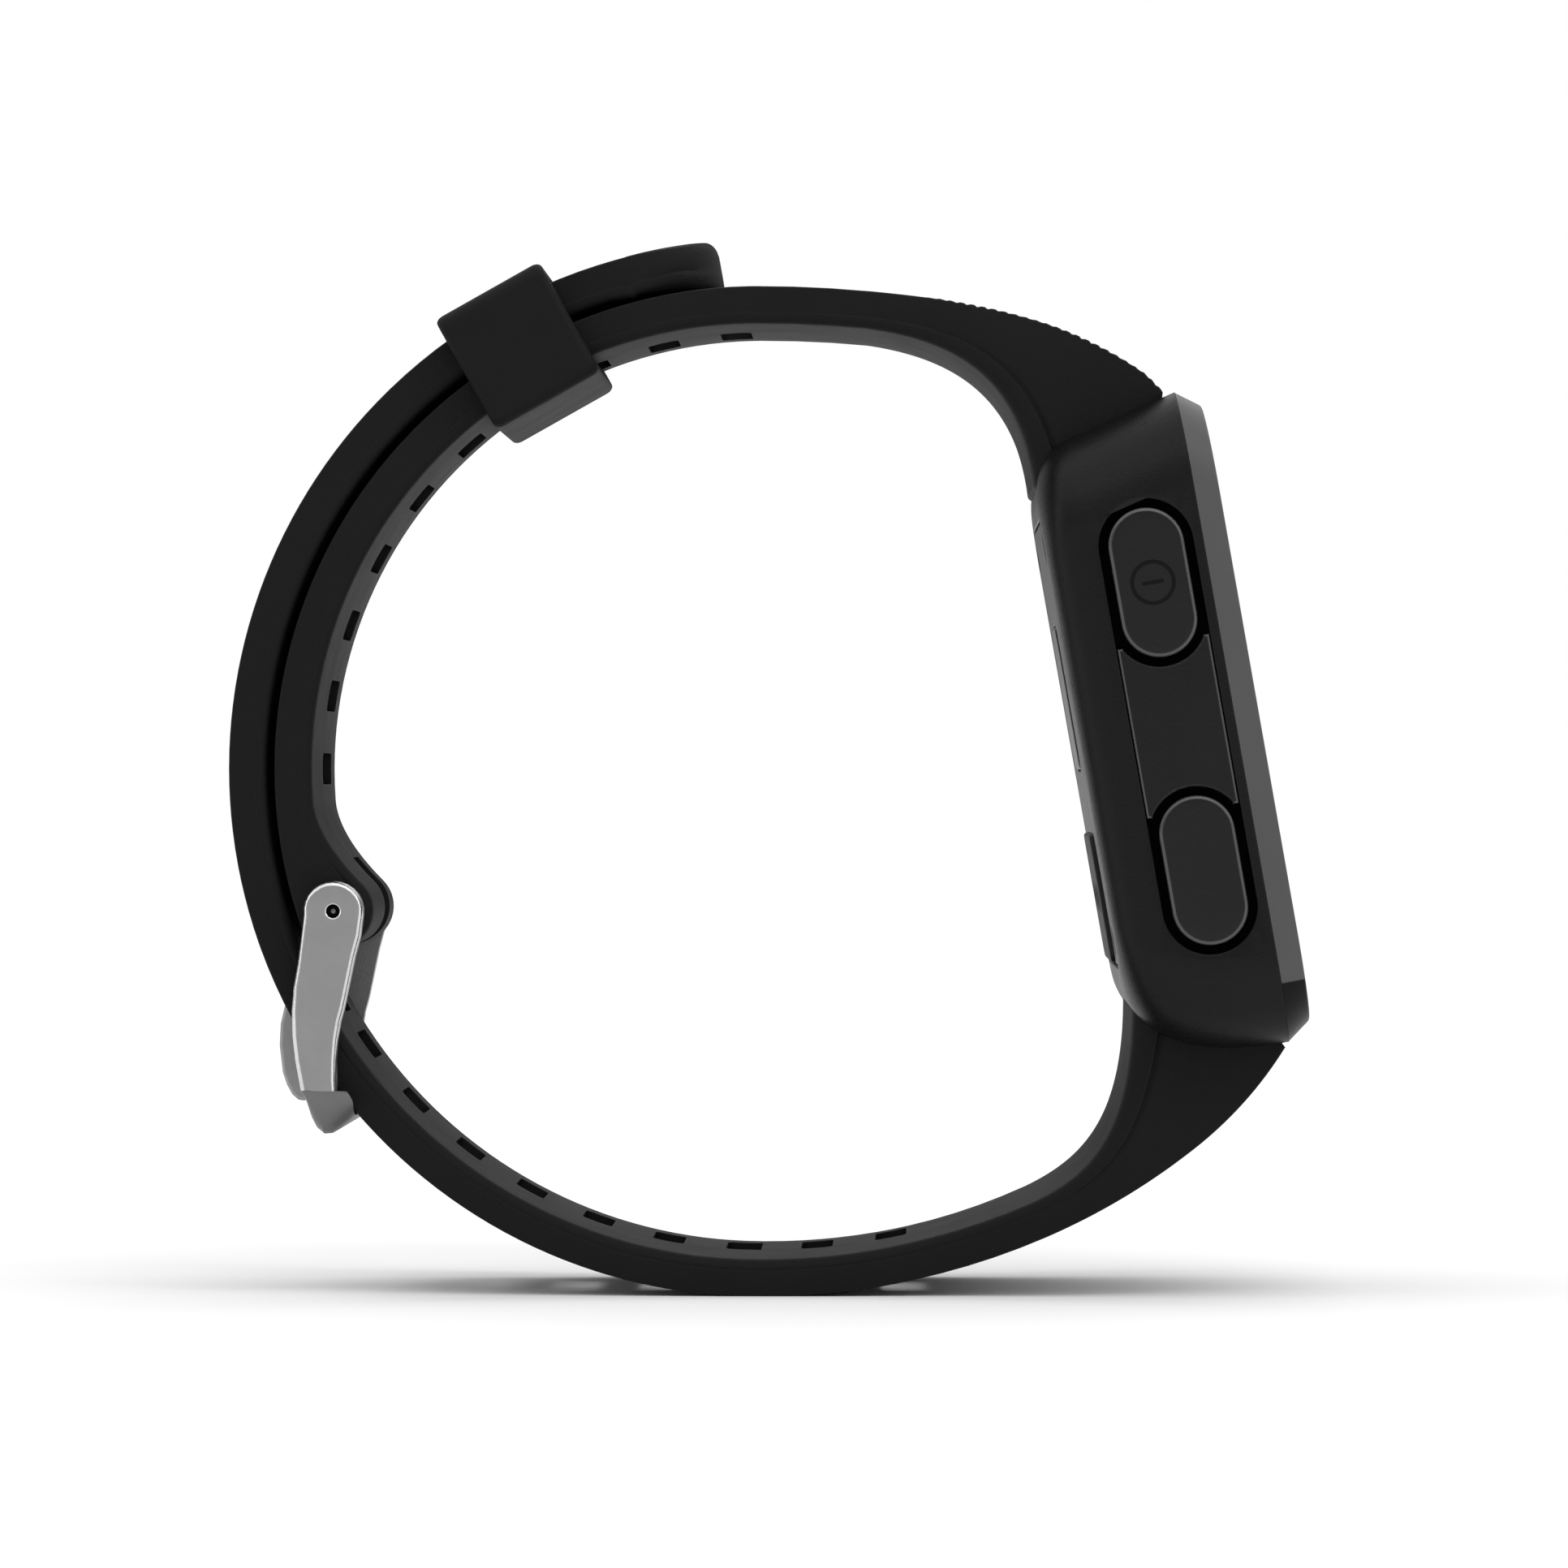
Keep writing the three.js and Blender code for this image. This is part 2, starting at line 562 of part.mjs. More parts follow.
function buckleStrapOutline(outerGrow, wristGrow) {
  const [round, crown] = buckleArcs;
  const wristArcs = [{ ...round, from: 184 }, { ...crown, to: 84.6 }];
  const wrist = chainPoints(wristArcs, -STRAP_THICKNESS - wristGrow);
  const lastWrist = wrist[wrist.length - 1];
  const eye = PIN_EYE_RADIUS + wristGrow;
  const flareStart = [PIN.x + eye * 0.72, PIN.z + eye * 0.7];
  return [
    ...chainPoints(buckleArcs, outerGrow),
    [24.4, 53.6],
    [18.6, 48.8],
    [16.75 - wristGrow, 50.6 - wristGrow],
    ...curvePoints([16.75 - wristGrow, 50.6 - wristGrow], [15.9 - wristGrow, 57 - wristGrow],
      [12.4, 59.7 - wristGrow], lastWrist, 8),
    ...wrist.reverse(),
    ...curvePoints([-28.41 + wristGrow, 31.13], [-28.3 + wristGrow, 29.2],
      [-26.64 + wristGrow, 27.15 + wristGrow], flareStart, 5),
    ...pinCircle(eye, 45, -150, 10),
  ];
}

function makeBuckleStrap() {
  let strap = strapBody(buckleStrapOutline(0, 1.2), buckleStrapOutline(1.2, 0), [5, 20]);
  strap = strap.subtract(caseClearance);
  const { tab, bore } = tabSolid(1);
  strap = strap.add(tab).subtract(bore);
  const step = slotStep(buckleArcs[0]);
  for (let i = 0; i < BUCKLE_STRAP_SLOTS; i += 1) {
    strap = strap.subtract(slotCutter(buckleArcs[0], 180 - i * step, SLOT_LENGTH, SLOT_HALF_WIDTH));
  }
  strap = strap.subtract(solid(bar(PIN_RADIUS + 0.35, PIN.x, PIN.z, -15, 15)));
  const notch = TONGUE_HALF_WIDTH + TONGUE_ROOM;
  return strap.subtract(solid(box(PIN.x - 4, PIN.x + 4, -notch, notch, PIN.z - 4, PIN.z + NOTCH_TOP)));
}

place(watch, 'buckle_strap', geometryOf(makeBuckleStrap()), SILICONE());

// ---------------------------------------------------------------- hole strap (lower half)

const holeArcsDown = arcChain(LOOP, 180, [
  { radius: HOLE_STRAP_RADIUS, to: 268 },
  { radius: 43.54, to: 308.5 },
  { radius: 24.23, to: 328.3 },
]);
const holeArcsUp = arcChain(LOOP, 180, [
  { radius: HOLE_STRAP_RADIUS, to: 107.5 },
  { radius: 59.24, to: 100.7 },
]);

function holeStrapOutline(outerGrow, wristGrow) {
  const inward = -STRAP_THICKNESS - wristGrow;
  const outerUp = chainPoints(holeArcsUp, outerGrow).slice(1);
  const [rise, tail] = holeArcsUp;
  const tailWrist = [105.8, 103.2, 100.7].map((angle) => {
    const share = (tail.from - angle) / (tail.from - tail.to);
    return onArc(tail, angle, inward - TAIL_THICKENING * share);
  });
  const wristUp = [...chainPoints([rise], inward), ...tailWrist].reverse();
  const wristArcs = [holeArcsDown[0], { ...holeArcsDown[1], to: 294 }];
  const wristDown = chainPoints(wristArcs, inward).slice(1);
  const grow = Math.max(outerGrow, wristGrow);
  return [
    ...chainPoints(holeArcsDown, outerGrow).reverse(),
    ...outerUp,
    [-2.95 + grow, 64.75],
    ...wristUp,
    ...wristDown,
    ...curvePoints(wristDown[wristDown.length - 1], [20.6, 7.8 + wristGrow],
      [22.9 - wristGrow, 10.6 + wristGrow], [22.9 - wristGrow, 18.4], 7),
    [22.9 - wristGrow, 18.4],
    [26, 19],
    [31, 18.6],
  ];
}

// Everything round the tail outside a plan that narrows to a rounded end.
function tailTrim() {
  const keep = new THREE.Shape();
  keep.moveTo(-16, -STRAP_HALF_WIDTH);
  keep.lineTo(-9.5, -STRAP_HALF_WIDTH);
  keep.bezierCurveTo(-5, -STRAP_HALF_WIDTH, -2.6, -6.5, -2.6, 0);
  keep.bezierCurveTo(-2.6, 6.5, -5, STRAP_HALF_WIDTH, -9.5, STRAP_HALF_WIDTH);
  keep.lineTo(-16, STRAP_HALF_WIDTH);
  return solid(box(-9.6, 6, -14, 14, 56, 75)).subtract(solid(upward(keep, 50, 80, { curveSegments: 8 })));
}

// Where slots are cut, as angles on the strap's arcs. The tongue lies in one stretched slot.
const LOW_SLOT_ANGLE = 281.3;
const LAST_SLOT_ANGLE = 130;
const TONGUE_SLOT = { from: 200, to: 210.5 };

function makeHoleStrap() {
  let strap = strapBody(holeStrapOutline(0, 1.2), holeStrapOutline(1.2, 0), [9, 25]);
  strap = strap.subtract(caseClearance);
  const { tab, bore } = tabSolid(-1);
  strap = strap.add(tab).subtract(bore).subtract(tailTrim());
  const [round, low] = holeArcsDown;
  for (const i of [0, 1]) {
    const angle = LOW_SLOT_ANGLE - i * slotStep(low);
    strap = strap.subtract(slotCutter(low, angle, SLOT_LENGTH, SLOT_HALF_WIDTH));
  }
  for (let angle = round.to; angle > LAST_SLOT_ANGLE; angle -= slotStep(round)) {
    const taken = angle > TONGUE_SLOT.from && angle < TONGUE_SLOT.to;
    if (!taken) strap = strap.subtract(slotCutter(round, angle, SLOT_LENGTH, SLOT_HALF_WIDTH));
  }
  const reach = radians(TONGUE_SLOT.to - TONGUE_SLOT.from) * (round.radius - STRAP_THICKNESS / 2);
  const middle = (TONGUE_SLOT.from + TONGUE_SLOT.to) / 2;
  return strap.subtract(slotCutter(round, middle, reach, TONGUE_HALF_WIDTH + TONGUE_ROOM));
}

place(watch, 'hole_strap', geometryOf(makeHoleStrap()), SILICONE());

// ---------------------------------------------------------------- buckle

function makeBuckleFrame() {
  const head = pinCircle(1.87, 0, 180, 8);
  const outline = polygon([
    ...head,
    [-29.18, 20.99],
    [-29.56, 17.9],
    [-29.35, 14.8],
    [-28.7, 12],
    [-28.2, 10.5],
    [-27.7, 10.12],
    [-26.75, 10.42],
    [-25.7, 11.3],
    [-26.75, 12.3],
    [-26.86, 13.6],
    [-26.74, 16.1],
    [-26.3, 18.16],
    [-25.6, 21.45],
  ]);
  let frame = solid(across(outline, -ARM_OUTSIDE, ARM_OUTSIDE, { bevel: 0.28 }));
  const front = roundedRectangle(ARM_OUTSIDE, 14, 3, 0, 24.05);
  frame = frame.intersect(solid(frontward(front, -35, -20, { curveSegments: 5 })));
  const opening = solid(box(-35, -20, -ARM_INSIDE, ARM_INSIDE, 12.9, 30));
  const strapRound = solid(bar(HOLE_STRAP_RADIUS + 0.25, LOOP.x, LOOP.z, -ARM_INSIDE, ARM_INSIDE, 120));
  frame = frame.subtract(opening).subtract(strapRound);
  return frame.subtract(solid(bar(0.6, PIN.x, PIN.z, -15, 15)));
}

function makeBucklePin() {
  const body = solid(bar(PIN_RADIUS, PIN.x, PIN.z, -10.15, 10.15));
  return body.add(solid(bar(0.32, PIN.x, PIN.z, -11.85, 11.85, 12)));
}

// The tongue wraps the pin, drops through a strap slot and lies on the cross bar.
function makeTongue() {
  const outline = polygon([
    ...pinCircle(1.62, 40, 175, 6),
    [-29.35, 20.9],
    [-30.75, 18.2],
    [-31.15, 15.4],
    [-30.95, 13.7],
    [-30.35, 12.3],
    [-29.6, 11.9],
    [-29.1, 12.25],
    [-29.75, 14],
    [-29.9, 15.6],
    [-29.4, 17.6],
    [-27.9, 20.4],
    ...pinCircle(1.62, 250, 370, 5),
  ]);
  const half = TONGUE_HALF_WIDTH;
  const body = solid(across(outline, -half, half, { bevel: 0.2 }));
  return body.subtract(solid(bar(PIN_RADIUS + 0.3, PIN.x, PIN.z, -5, 5)));
}

place(watch, 'buckle_frame', geometryOf(makeBuckleFrame()), BLASTED_STEEL());
place(watch, 'buckle_pin', geometryOf(makeBucklePin()), POLISHED_STEEL());
place(watch, 'buckle_tongue', geometryOf(makeTongue()), POLISHED_STEEL());

// ---------------------------------------------------------------- keeper

const keeperGroup = new THREE.Group();
keeperGroup.position.set(LOOP.x, 0, LOOP.z);
keeperGroup.rotation.y = -radians(KEEPER_ANGLE - 90);
watch.add(keeperGroup);

// A soft rubber loop round both strap layers, drawn with z pointing away from the loop's centre.
function makeKeeper() {
  const middle = (KEEPER_INSIDE + KEEPER_OUTSIDE) / 2;
  const halfHeight = (KEEPER_OUTSIDE - KEEPER_INSIDE) / 2;
  const side = roundedRectangle(KEEPER_LENGTH / 2, halfHeight, 1.05, 0, middle);
  const block = solid(across(side, -12.05, 12.05, { curveSegments: 3, bevel: 0.5, bevelSegments: 2 }));
  return block.subtract(solid(box(-6, 6, -10.35, 10.35, 27.35, HOLE_STRAP_RADIUS + GAP)));
}

place(keeperGroup, 'keeper', geometryOf(makeKeeper()), SILICONE());

export default watch;
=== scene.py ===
import json
from math import acos, cos, pi, radians, sin, sqrt

import bmesh
import bpy
from mathutils import Matrix, Vector


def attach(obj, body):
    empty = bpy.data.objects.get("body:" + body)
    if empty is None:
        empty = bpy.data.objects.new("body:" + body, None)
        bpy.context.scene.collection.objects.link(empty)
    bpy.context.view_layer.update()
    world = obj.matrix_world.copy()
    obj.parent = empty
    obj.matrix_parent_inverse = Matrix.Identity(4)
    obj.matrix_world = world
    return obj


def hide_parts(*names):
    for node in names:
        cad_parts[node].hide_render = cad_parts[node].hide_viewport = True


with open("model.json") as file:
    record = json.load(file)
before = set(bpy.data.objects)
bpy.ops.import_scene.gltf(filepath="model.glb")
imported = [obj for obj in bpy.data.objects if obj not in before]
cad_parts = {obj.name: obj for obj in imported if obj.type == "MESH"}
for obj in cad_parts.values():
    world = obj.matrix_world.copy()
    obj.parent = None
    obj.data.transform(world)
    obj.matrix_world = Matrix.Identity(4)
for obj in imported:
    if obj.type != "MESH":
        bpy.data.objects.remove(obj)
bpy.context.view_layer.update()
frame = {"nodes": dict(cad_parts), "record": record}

scene = bpy.context.scene

# ---------------------------------------------------------------- camera
# A long lens half a metre away, level with the middle of the watch, looking at its left side.
CAMERA_AT = Vector((0.009465, -0.5, 0.03212))
CAMERA_AIM = Vector((0.00097, 0, 0.03207))
camera = bpy.data.objects.new("camera", bpy.data.cameras.new("camera"))
camera.data.sensor_width = 36
camera.data.lens = 179.78
camera.data.dof.use_dof = False
camera.location = CAMERA_AT
camera.rotation_euler = (CAMERA_AIM - CAMERA_AT).to_track_quat("-Z", "Y").to_euler()
scene.collection.objects.link(camera)
scene.camera = camera

# ---------------------------------------------------------------- case shell
# The case is one hollow moulding in black fibre-filled plastic, with straight flanks that roll over
# into the back and a long pill-shaped recess in each flank for the keys. It opens at the front for
# the screen and at the back for a screwed cover.
MILLIMETRES = Matrix.Scale(0.001, 4)
CASE_TILT = 10
CASE_AT = Vector((30.52, 0, 36.5))
CASE_FRAME = MILLIMETRES @ Matrix.Translation(CASE_AT) @ Matrix.Rotation(radians(-CASE_TILT), 4, "Y")
CASE_HALF_WIDTH = 17.25
CASE_CORNER = 5.6
FACE_HALF_LENGTH = 19.42
SHOULDER = -1.5
SHOULDER_HALF_LENGTH = 20.55
TOP_ROLL_START = -8.9
TOP_ROLL_HEIGHT = 18.72
SEAM_BACK = -1.52
ROLL_START = -8.6
CASE_BACK = -11.15
COVER_SEAT = -10.2
CORNER_STEPS = 12
TOP_ROLL = ((TOP_ROLL_START, TOP_ROLL_HEIGHT), (-10.2, 18.3), (-11.05, 16.9), (-11.15, 14.9))
BOTTOM_ROLL_START = (-6.2, -20.08)
BOTTOM_CURVE = ((-1.5, -20.55), (-3.3, -20.55), (-4.8, -20.4), BOTTOM_ROLL_START)
BOTTOM_ROLL = (BOTTOM_ROLL_START, (-9.6, -19.35), (-11.05, -17.1), (-11.15, -15.2))
FLANK_ROLL = ((-8.6, 17.25), (-10.2, 17.25), (-11.15, 16.25), (-11.15, 14.55))
KEY_X = -5.05
RECESS_HALF_WIDTH = 2.92
RECESS_HALF_LENGTH = 14.22
RECESS_FLOOR = 15.65
RECESS_STEPS = 14


def curve_point(points, t):
    """A point on a four-point curve."""
    a, b, c, d = (Vector(p) for p in points)
    s = 1 - t
    return a * s**3 + b * 3 * s * s * t + c * 3 * s * t * t + d * t**3


def height_at(points, x):
    """How high a four-point curve that runs backwards stands at depth x."""
    low, high = 0.0, 1.0
    for _ in range(40):
        middle = (low + high) / 2
        if curve_point(points, middle)[0] > x:
            low = middle
        else:
            high = middle
    return curve_point(points, low)[1]


def case_top(x):
    if x > SHOULDER:
        return FACE_HALF_LENGTH + (SHOULDER_HALF_LENGTH - FACE_HALF_LENGTH) * x / SHOULDER
    if x > TOP_ROLL_START:
        share = (x - SHOULDER) / (TOP_ROLL_START - SHOULDER)
        return SHOULDER_HALF_LENGTH + (TOP_ROLL_HEIGHT - SHOULDER_HALF_LENGTH) * share
    return height_at(TOP_ROLL, x)


def case_bottom(x):
    if x > SHOULDER:
        return -case_top(x)
    return height_at(BOTTOM_CURVE if x > BOTTOM_ROLL_START[0] else BOTTOM_ROLL, x)


def case_half_width(x):
    return CASE_HALF_WIDTH if x > ROLL_START else height_at(FLANK_ROLL, x)


def start_ring(bm, count, place):
    """A closed ring of numbered points. place says where each number goes."""
    number = bm.verts.layers.int.get("number") or bm.verts.layers.int.new("number")
    verts = bmesh.ops.create_circle(bm, segments=count, radius=1)["verts"]
    for i, vert in enumerate(verts):
        vert[number] = i
        vert.co = place(i)
    chosen = set(verts)
    return [e for e in bm.edges if e.verts[0] in chosen and e.verts[1] in chosen]


def carry(bm, ring, place):
    """Extrudes a ring or chain of edges, and puts each new point where place says."""
    number = bm.verts.layers.int["number"]
    made = bmesh.ops.extrude_edge_only(bm, edges=ring)["geom"]
    chosen = {g for g in made if isinstance(g, bmesh.types.BMVert)}
    for vert in chosen:
        vert.co = place(vert[number])
    edges = {e for v in chosen for e in v.link_edges}
    return [e for e in edges if e.verts[0] in chosen and e.verts[1] in chosen]


def cap(bm, ring):
    return bmesh.ops.edgeloop_fill(bm, edges=ring)["faces"]


def carry_through(bm, places, count, closed=False):
    """A skin through a row of rings, capped at both ends or closed on itself."""
    first = ring = start_ring(bm, count, places[0])
    for place in places[1:]:
        ring = carry(bm, ring, place)
    if closed:
        bmesh.ops.bridge_loops(bm, edges=first + ring)
    else:
        cap(bm, first)
        cap(bm, ring)


def rounded_point(i, steps, half_a, high_b, low_b, corner):
    """Point i of a rounded rectangle, anticlockwise from its right-hand side."""
    quarter, step = divmod(i, steps + 1)
    angle = radians(90 * quarter + 90 * step / steps)
    a = (half_a - corner) * (1 if quarter in (0, 3) else -1)
    b = high_b - corner if quarter < 2 else low_b + corner
    return a + corner * cos(angle), b + corner * sin(angle)


def ring_count(steps):
    return 4 * (steps + 1)


def face_on(x, half_y, top, bottom, corner, steps=CORNER_STEPS):
    """A rounded rectangle square to the case's depth, as a place for each point."""
    return lambda i: (x, *rounded_point(i, steps, half_y, top, bottom, corner))


def on_flank(sign, depth, half_x, top, bottom, corner, steps):
    """A rounded rectangle lying on one flank, as a place for each point."""
    def place(i):
        a, b = rounded_point(i, steps, half_x, top, bottom, corner)
        return (KEY_X + a, sign * depth, b)
    return place


def sink_pocket(bm, count, places):
    """A blind pocket through a row of rings. Gives the open ring at its mouth."""
    mouth = ring = start_ring(bm, count, places[0])
    for place in places[1:]:
        ring = carry(bm, ring, place)
    cap(bm, ring)
    return mouth


def open_hole(bm, face, ring):
    """Cuts a ring of edges out of a flat face."""
    edges = list(face.edges) + list(ring)
    normal = face.normal.copy()
    bmesh.ops.delete(bm, geom=[face], context="FACES_ONLY")
    bmesh.ops.triangle_fill(bm, use_beauty=True, use_dissolve=False, edges=edges, normal=normal)


def finish_piece(bm, name, body, slot, materials, place=MILLIMETRES, sharp=32, nodes=()):
    """Puts a piece drawn in millimetres in its place, with its body, finish and CAD nodes."""
    bmesh.ops.transform(bm, matrix=place, verts=bm.verts)
    bmesh.ops.remove_doubles(bm, verts=bm.verts, dist=1e-7)
    bmesh.ops.dissolve_degenerate(bm, edges=bm.edges, dist=1e-7)
    bmesh.ops.recalc_face_normals(bm, faces=bm.faces)
    for face in bm.faces:
        face.smooth = True
    for edge in bm.edges:
        edge.smooth = edge.calc_face_angle(0) < radians(sharp)
    mesh = bpy.data.meshes.new(name)
    bm.to_mesh(mesh)
    bm.free()
    for material in materials:
        mesh.materials.append(material)
    piece = bpy.data.objects.new(name, mesh)
    scene.collection.objects.link(piece)
    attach(piece, body)
    if nodes:
        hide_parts(*nodes)
    weighted = piece.modifiers.new("flat_faces_stay_flat", "WEIGHTED_NORMAL")
    weighted.keep_sharp = True


def add_node(tree, kind, inputs=None, **settings):
    """A shader node with its settings, and inputs given as values or other nodes' outputs."""
    made = tree.nodes.new("ShaderNode" + kind)
    for key, value in settings.items():
        setattr(made, key, value)
    for socket, value in (inputs or {}).items():
        if isinstance(value, bpy.types.NodeSocket):
            tree.links.new(value, made.inputs[socket])
        else:
            made.inputs[socket].default_value = value
    return made


def object_place(tree):
    return add_node(tree, "TexCoord").outputs["Object"]


def maths(tree, operation, *values):
    return add_node(tree, "Math", dict(enumerate(values)), operation=operation).outputs[0]


def share_of(tree, value, start, end):
    """How far a value has gone from start to end, as 0 to 1."""
    return add_node(tree, "MapRange", {
        "Value": value, "From Min": start, "From Max": end}).outputs["Result"]


def between(tree, share, low, high):
    """A value that runs from low to high as share runs from 0 to 1."""
    return add_node(tree, "MapRange", {
        "Value": share, "To Min": low, "To Max": high}).outputs["Result"]


def effect_group(name, inputs, outputs):
    """An empty node group with float inputs given as {name: value}, and named float outputs."""
    group = bpy.data.node_groups.new(name, "ShaderNodeTree")
    for label, value in inputs.items():
        socket = group.interface.new_socket(label, in_out="INPUT", socket_type="NodeSocketFloat")
        socket.default_value = value
    for label in outputs:
        group.interface.new_socket(label, in_out="OUTPUT", socket_type="NodeSocketFloat")
    return group, group.nodes.new("NodeGroupInput"), group.nodes.new("NodeGroupOutput")


# The fine even texture that an eroded mould leaves on a plastic or rubber skin.
grain_group, grain_in, grain_out = effect_group(
    "mould_grain", {"Fineness": 6000, "Mottle Size": 250}, ["Height", "Mottle"])
grain_place = object_place(grain_group)
fine = add_node(grain_group, "TexNoise", {
    "Vector": grain_place, "Scale": grain_in.outputs["Fineness"], "Detail": 3.0, "Roughness": 0.6})
cells = add_node(grain_group, "TexVoronoi", {
    "Vector": grain_place, "Scale": grain_in.outputs["Fineness"]}, feature="SMOOTH_F1")
grain_sum = maths(grain_group, "ADD", fine.outputs["Fac"], cells.outputs["Distance"])
broad = add_node(grain_group, "TexNoise", {
    "Vector": grain_place, "Scale": grain_in.outputs["Mottle Size"], "Detail": 4.0, "Roughness": 0.55})
grain_group.links.new(grain_sum, grain_out.inputs["Height"])
grain_group.links.new(broad.outputs["Fac"], grain_out.inputs["Mottle"])

# Fine hairline scratches from handling, in two crossing directions.
scratch_group, scratch_in, scratch_out = effect_group(
    "hairline_scratches", {"Density": 300, "Amount": 0.5}, ["Scratches"])
scratch_place = object_place(scratch_group)
lines = []
for turn in (0.5, 2.0):
    turned = add_node(scratch_group, "Mapping", {
        "Vector": scratch_place, "Rotation": (0.3, turn, turn), "Scale": (1, 14, 14)})
    noise = add_node(scratch_group, "TexNoise", {
        "Vector": turned.outputs[0], "Scale": scratch_in.outputs["Density"], "Detail": 2.0})
    lines.append(share_of(scratch_group, noise.outputs["Fac"], 0.64, 0.70))
either = maths(scratch_group, "MAXIMUM", *lines)
scaled = maths(scratch_group, "MULTIPLY", either, scratch_in.outputs["Amount"])
scratch_group.links.new(scaled, scratch_out.inputs["Scratches"])

# Corners painted paler than the faces beside them as a painted edge highlight,
# and made smoother as if rubbed.
edge_highlight_group, edge_highlight_in, edge_highlight_out = effect_group("painted_edge_highlight_and_rub", {"Width": 0.00015, "Amount": 1}, ["Rub"])
soft_corner = add_node(edge_highlight_group, "Bevel", {"Radius": edge_highlight_in.outputs["Width"]}, samples=6)
true_face = add_node(edge_highlight_group, "NewGeometry").outputs["Normal"]
alike = add_node(edge_highlight_group, "VectorMath", {
    0: soft_corner.outputs[0], 1: true_face}, operation="DOT_PRODUCT").outputs["Value"]
turned_away = share_of(edge_highlight_group, alike, 0.995, 0.86)
patchy = add_node(edge_highlight_group, "TexNoise", {
    "Vector": object_place(edge_highlight_group), "Scale": 900.0, "Detail": 3.0}).outputs["Fac"]
patched = maths(edge_highlight_group, "MULTIPLY", turned_away, patchy)
highlight_scaled = maths(edge_highlight_group, "MULTIPLY", patched, edge_highlight_in.outputs["Amount"])
edge_highlight_group.links.new(highlight_scaled, edge_highlight_out.inputs["Rub"])


def effect(tree, group, inputs):
    made = add_node(tree, "Group", node_tree=group)
    for socket, value in inputs.items():
        made.inputs[socket].default_value = value
    return made.outputs


def blend_colour(tree, share, first, second):
    mixed = add_node(tree, "Mix", data_type="RGBA")
    for socket, value in ((0, share), (6, first), (7, second)):
        if isinstance(value, bpy.types.NodeSocket):
            tree.links.new(value, mixed.inputs[socket])
        else:
            mixed.inputs[socket].default_value = value if socket == 0 else (*value, 1)
    return mixed.outputs[2]


def new_finish(name):
    """A material, its node tree and its shader."""
    material = bpy.data.materials.new(name)
    material.use_nodes = True
    return material, material.node_tree, material.node_tree.nodes["Principled BSDF"]


def feed(tree, shader, colour, gloss, height, strength, distance):
    """Gives a shader its colour, its roughness and a relief."""
    bump = add_node(tree, "Bump", {"Height": height, "Strength": strength, "Distance": distance})
    tree.links.new(colour, shader.inputs["Base Color"])
    tree.links.new(gloss, shader.inputs["Roughness"])
    tree.links.new(bump.outputs[0], shader.inputs["Normal"])


def grained_finish(name, dark, light, roughness, grain, depth, mottle=250, highlight_amount=0, highlight_colour=None,
                   highlight_width=0.00015, scuffs=0, metal=0, specular=0.5):
    """A moulded, blasted or rubber skin: grain in its relief, mottle in its colour and gloss."""
    material, tree, shader = new_finish(name)
    shader.inputs["Metallic"].default_value = metal
    shader.inputs["Specular IOR Level"].default_value = specular
    skin = effect(tree, grain_group, {"Fineness": grain, "Mottle Size": mottle})
    colour = blend_colour(tree, skin["Mottle"], dark, light)
    gloss = between(tree, skin["Mottle"], *roughness)
    # Corners painted paler as a painted edge highlight, and smoother as rubbed.
    if highlight_amount:
        edge_highlight_and_rub_mask = effect(tree, edge_highlight_group, {"Amount": highlight_amount, "Width": highlight_width})["Rub"]
        colour = blend_colour(tree, edge_highlight_and_rub_mask, colour, highlight_colour)
        gloss = maths(tree, "ADD", gloss, between(tree, edge_highlight_and_rub_mask, 0, -0.12))
    if scuffs:
        marks = effect(tree, scratch_group, {"Amount": scuffs})["Scratches"]
        gloss = maths(tree, "ADD", gloss, marks)
    feed(tree, shader, colour, gloss, skin["Height"], 0.6, depth)
    return material


# Its corners are painted a little paler as an edge highlight.
case_plastic = grained_finish(
    "case_plastic", (0.0038, 0.0038, 0.004), (0.0058, 0.0058, 0.006), (0.34, 0.46), 7000, 0.00002,
    highlight_amount=0.35, highlight_colour=(0.05, 0.05, 0.052), scuffs=0.12, specular=0.16)
# Near-black paint for the recess's walls and floor: painted shade.
recess_painted_shade = grained_finish(
    "recess_painted_shade", (0.0012, 0.0012, 0.0012), (0.002, 0.002, 0.002), (0.7, 0.8), 7000, 0.00002,
    specular=0.05)


def recess(bm, sign):
    """Cuts the long recess into one flank, with a softened rim and its walls and floor painted darker
    than the case as shade.
    """
    rims = ((CASE_HALF_WIDTH, 0.1), (CASE_HALF_WIDTH - 0.03, 0.03), (CASE_HALF_WIDTH - 0.1, 0),
            (RECESS_FLOOR, 0))
    places = [on_flank(sign, depth, RECESS_HALF_WIDTH + grow, RECESS_HALF_LENGTH + grow,
                       -RECESS_HALF_LENGTH - grow, RECESS_HALF_WIDTH + grow - 0.01, RECESS_STEPS)
              for depth, grow in rims]
    flat = [f for f in bm.faces if f.normal.y * sign > 0.999 and f.calc_center_median().x > ROLL_START
            and abs(f.calc_center_median().y) > CASE_HALF_WIDTH - 0.01]
    flank = bmesh.ops.dissolve_faces(bm, faces=flat, use_verts=False)["region"][0]
    open_hole(bm, flank, sink_pocket(bm, ring_count(RECESS_STEPS), places))
    # The recess's walls and floor take the painted shade.
    for face in bm.faces:
        middle = face.calc_center_median()
        in_plan = (abs(middle.x - KEY_X) < RECESS_HALF_WIDTH + 0.01
                   and abs(middle.z) < RECESS_HALF_LENGTH + 0.01)
        if in_plan and RECESS_FLOOR - 0.01 < middle.y * sign < CASE_HALF_WIDTH - 0.1:
            face.material_index = 1


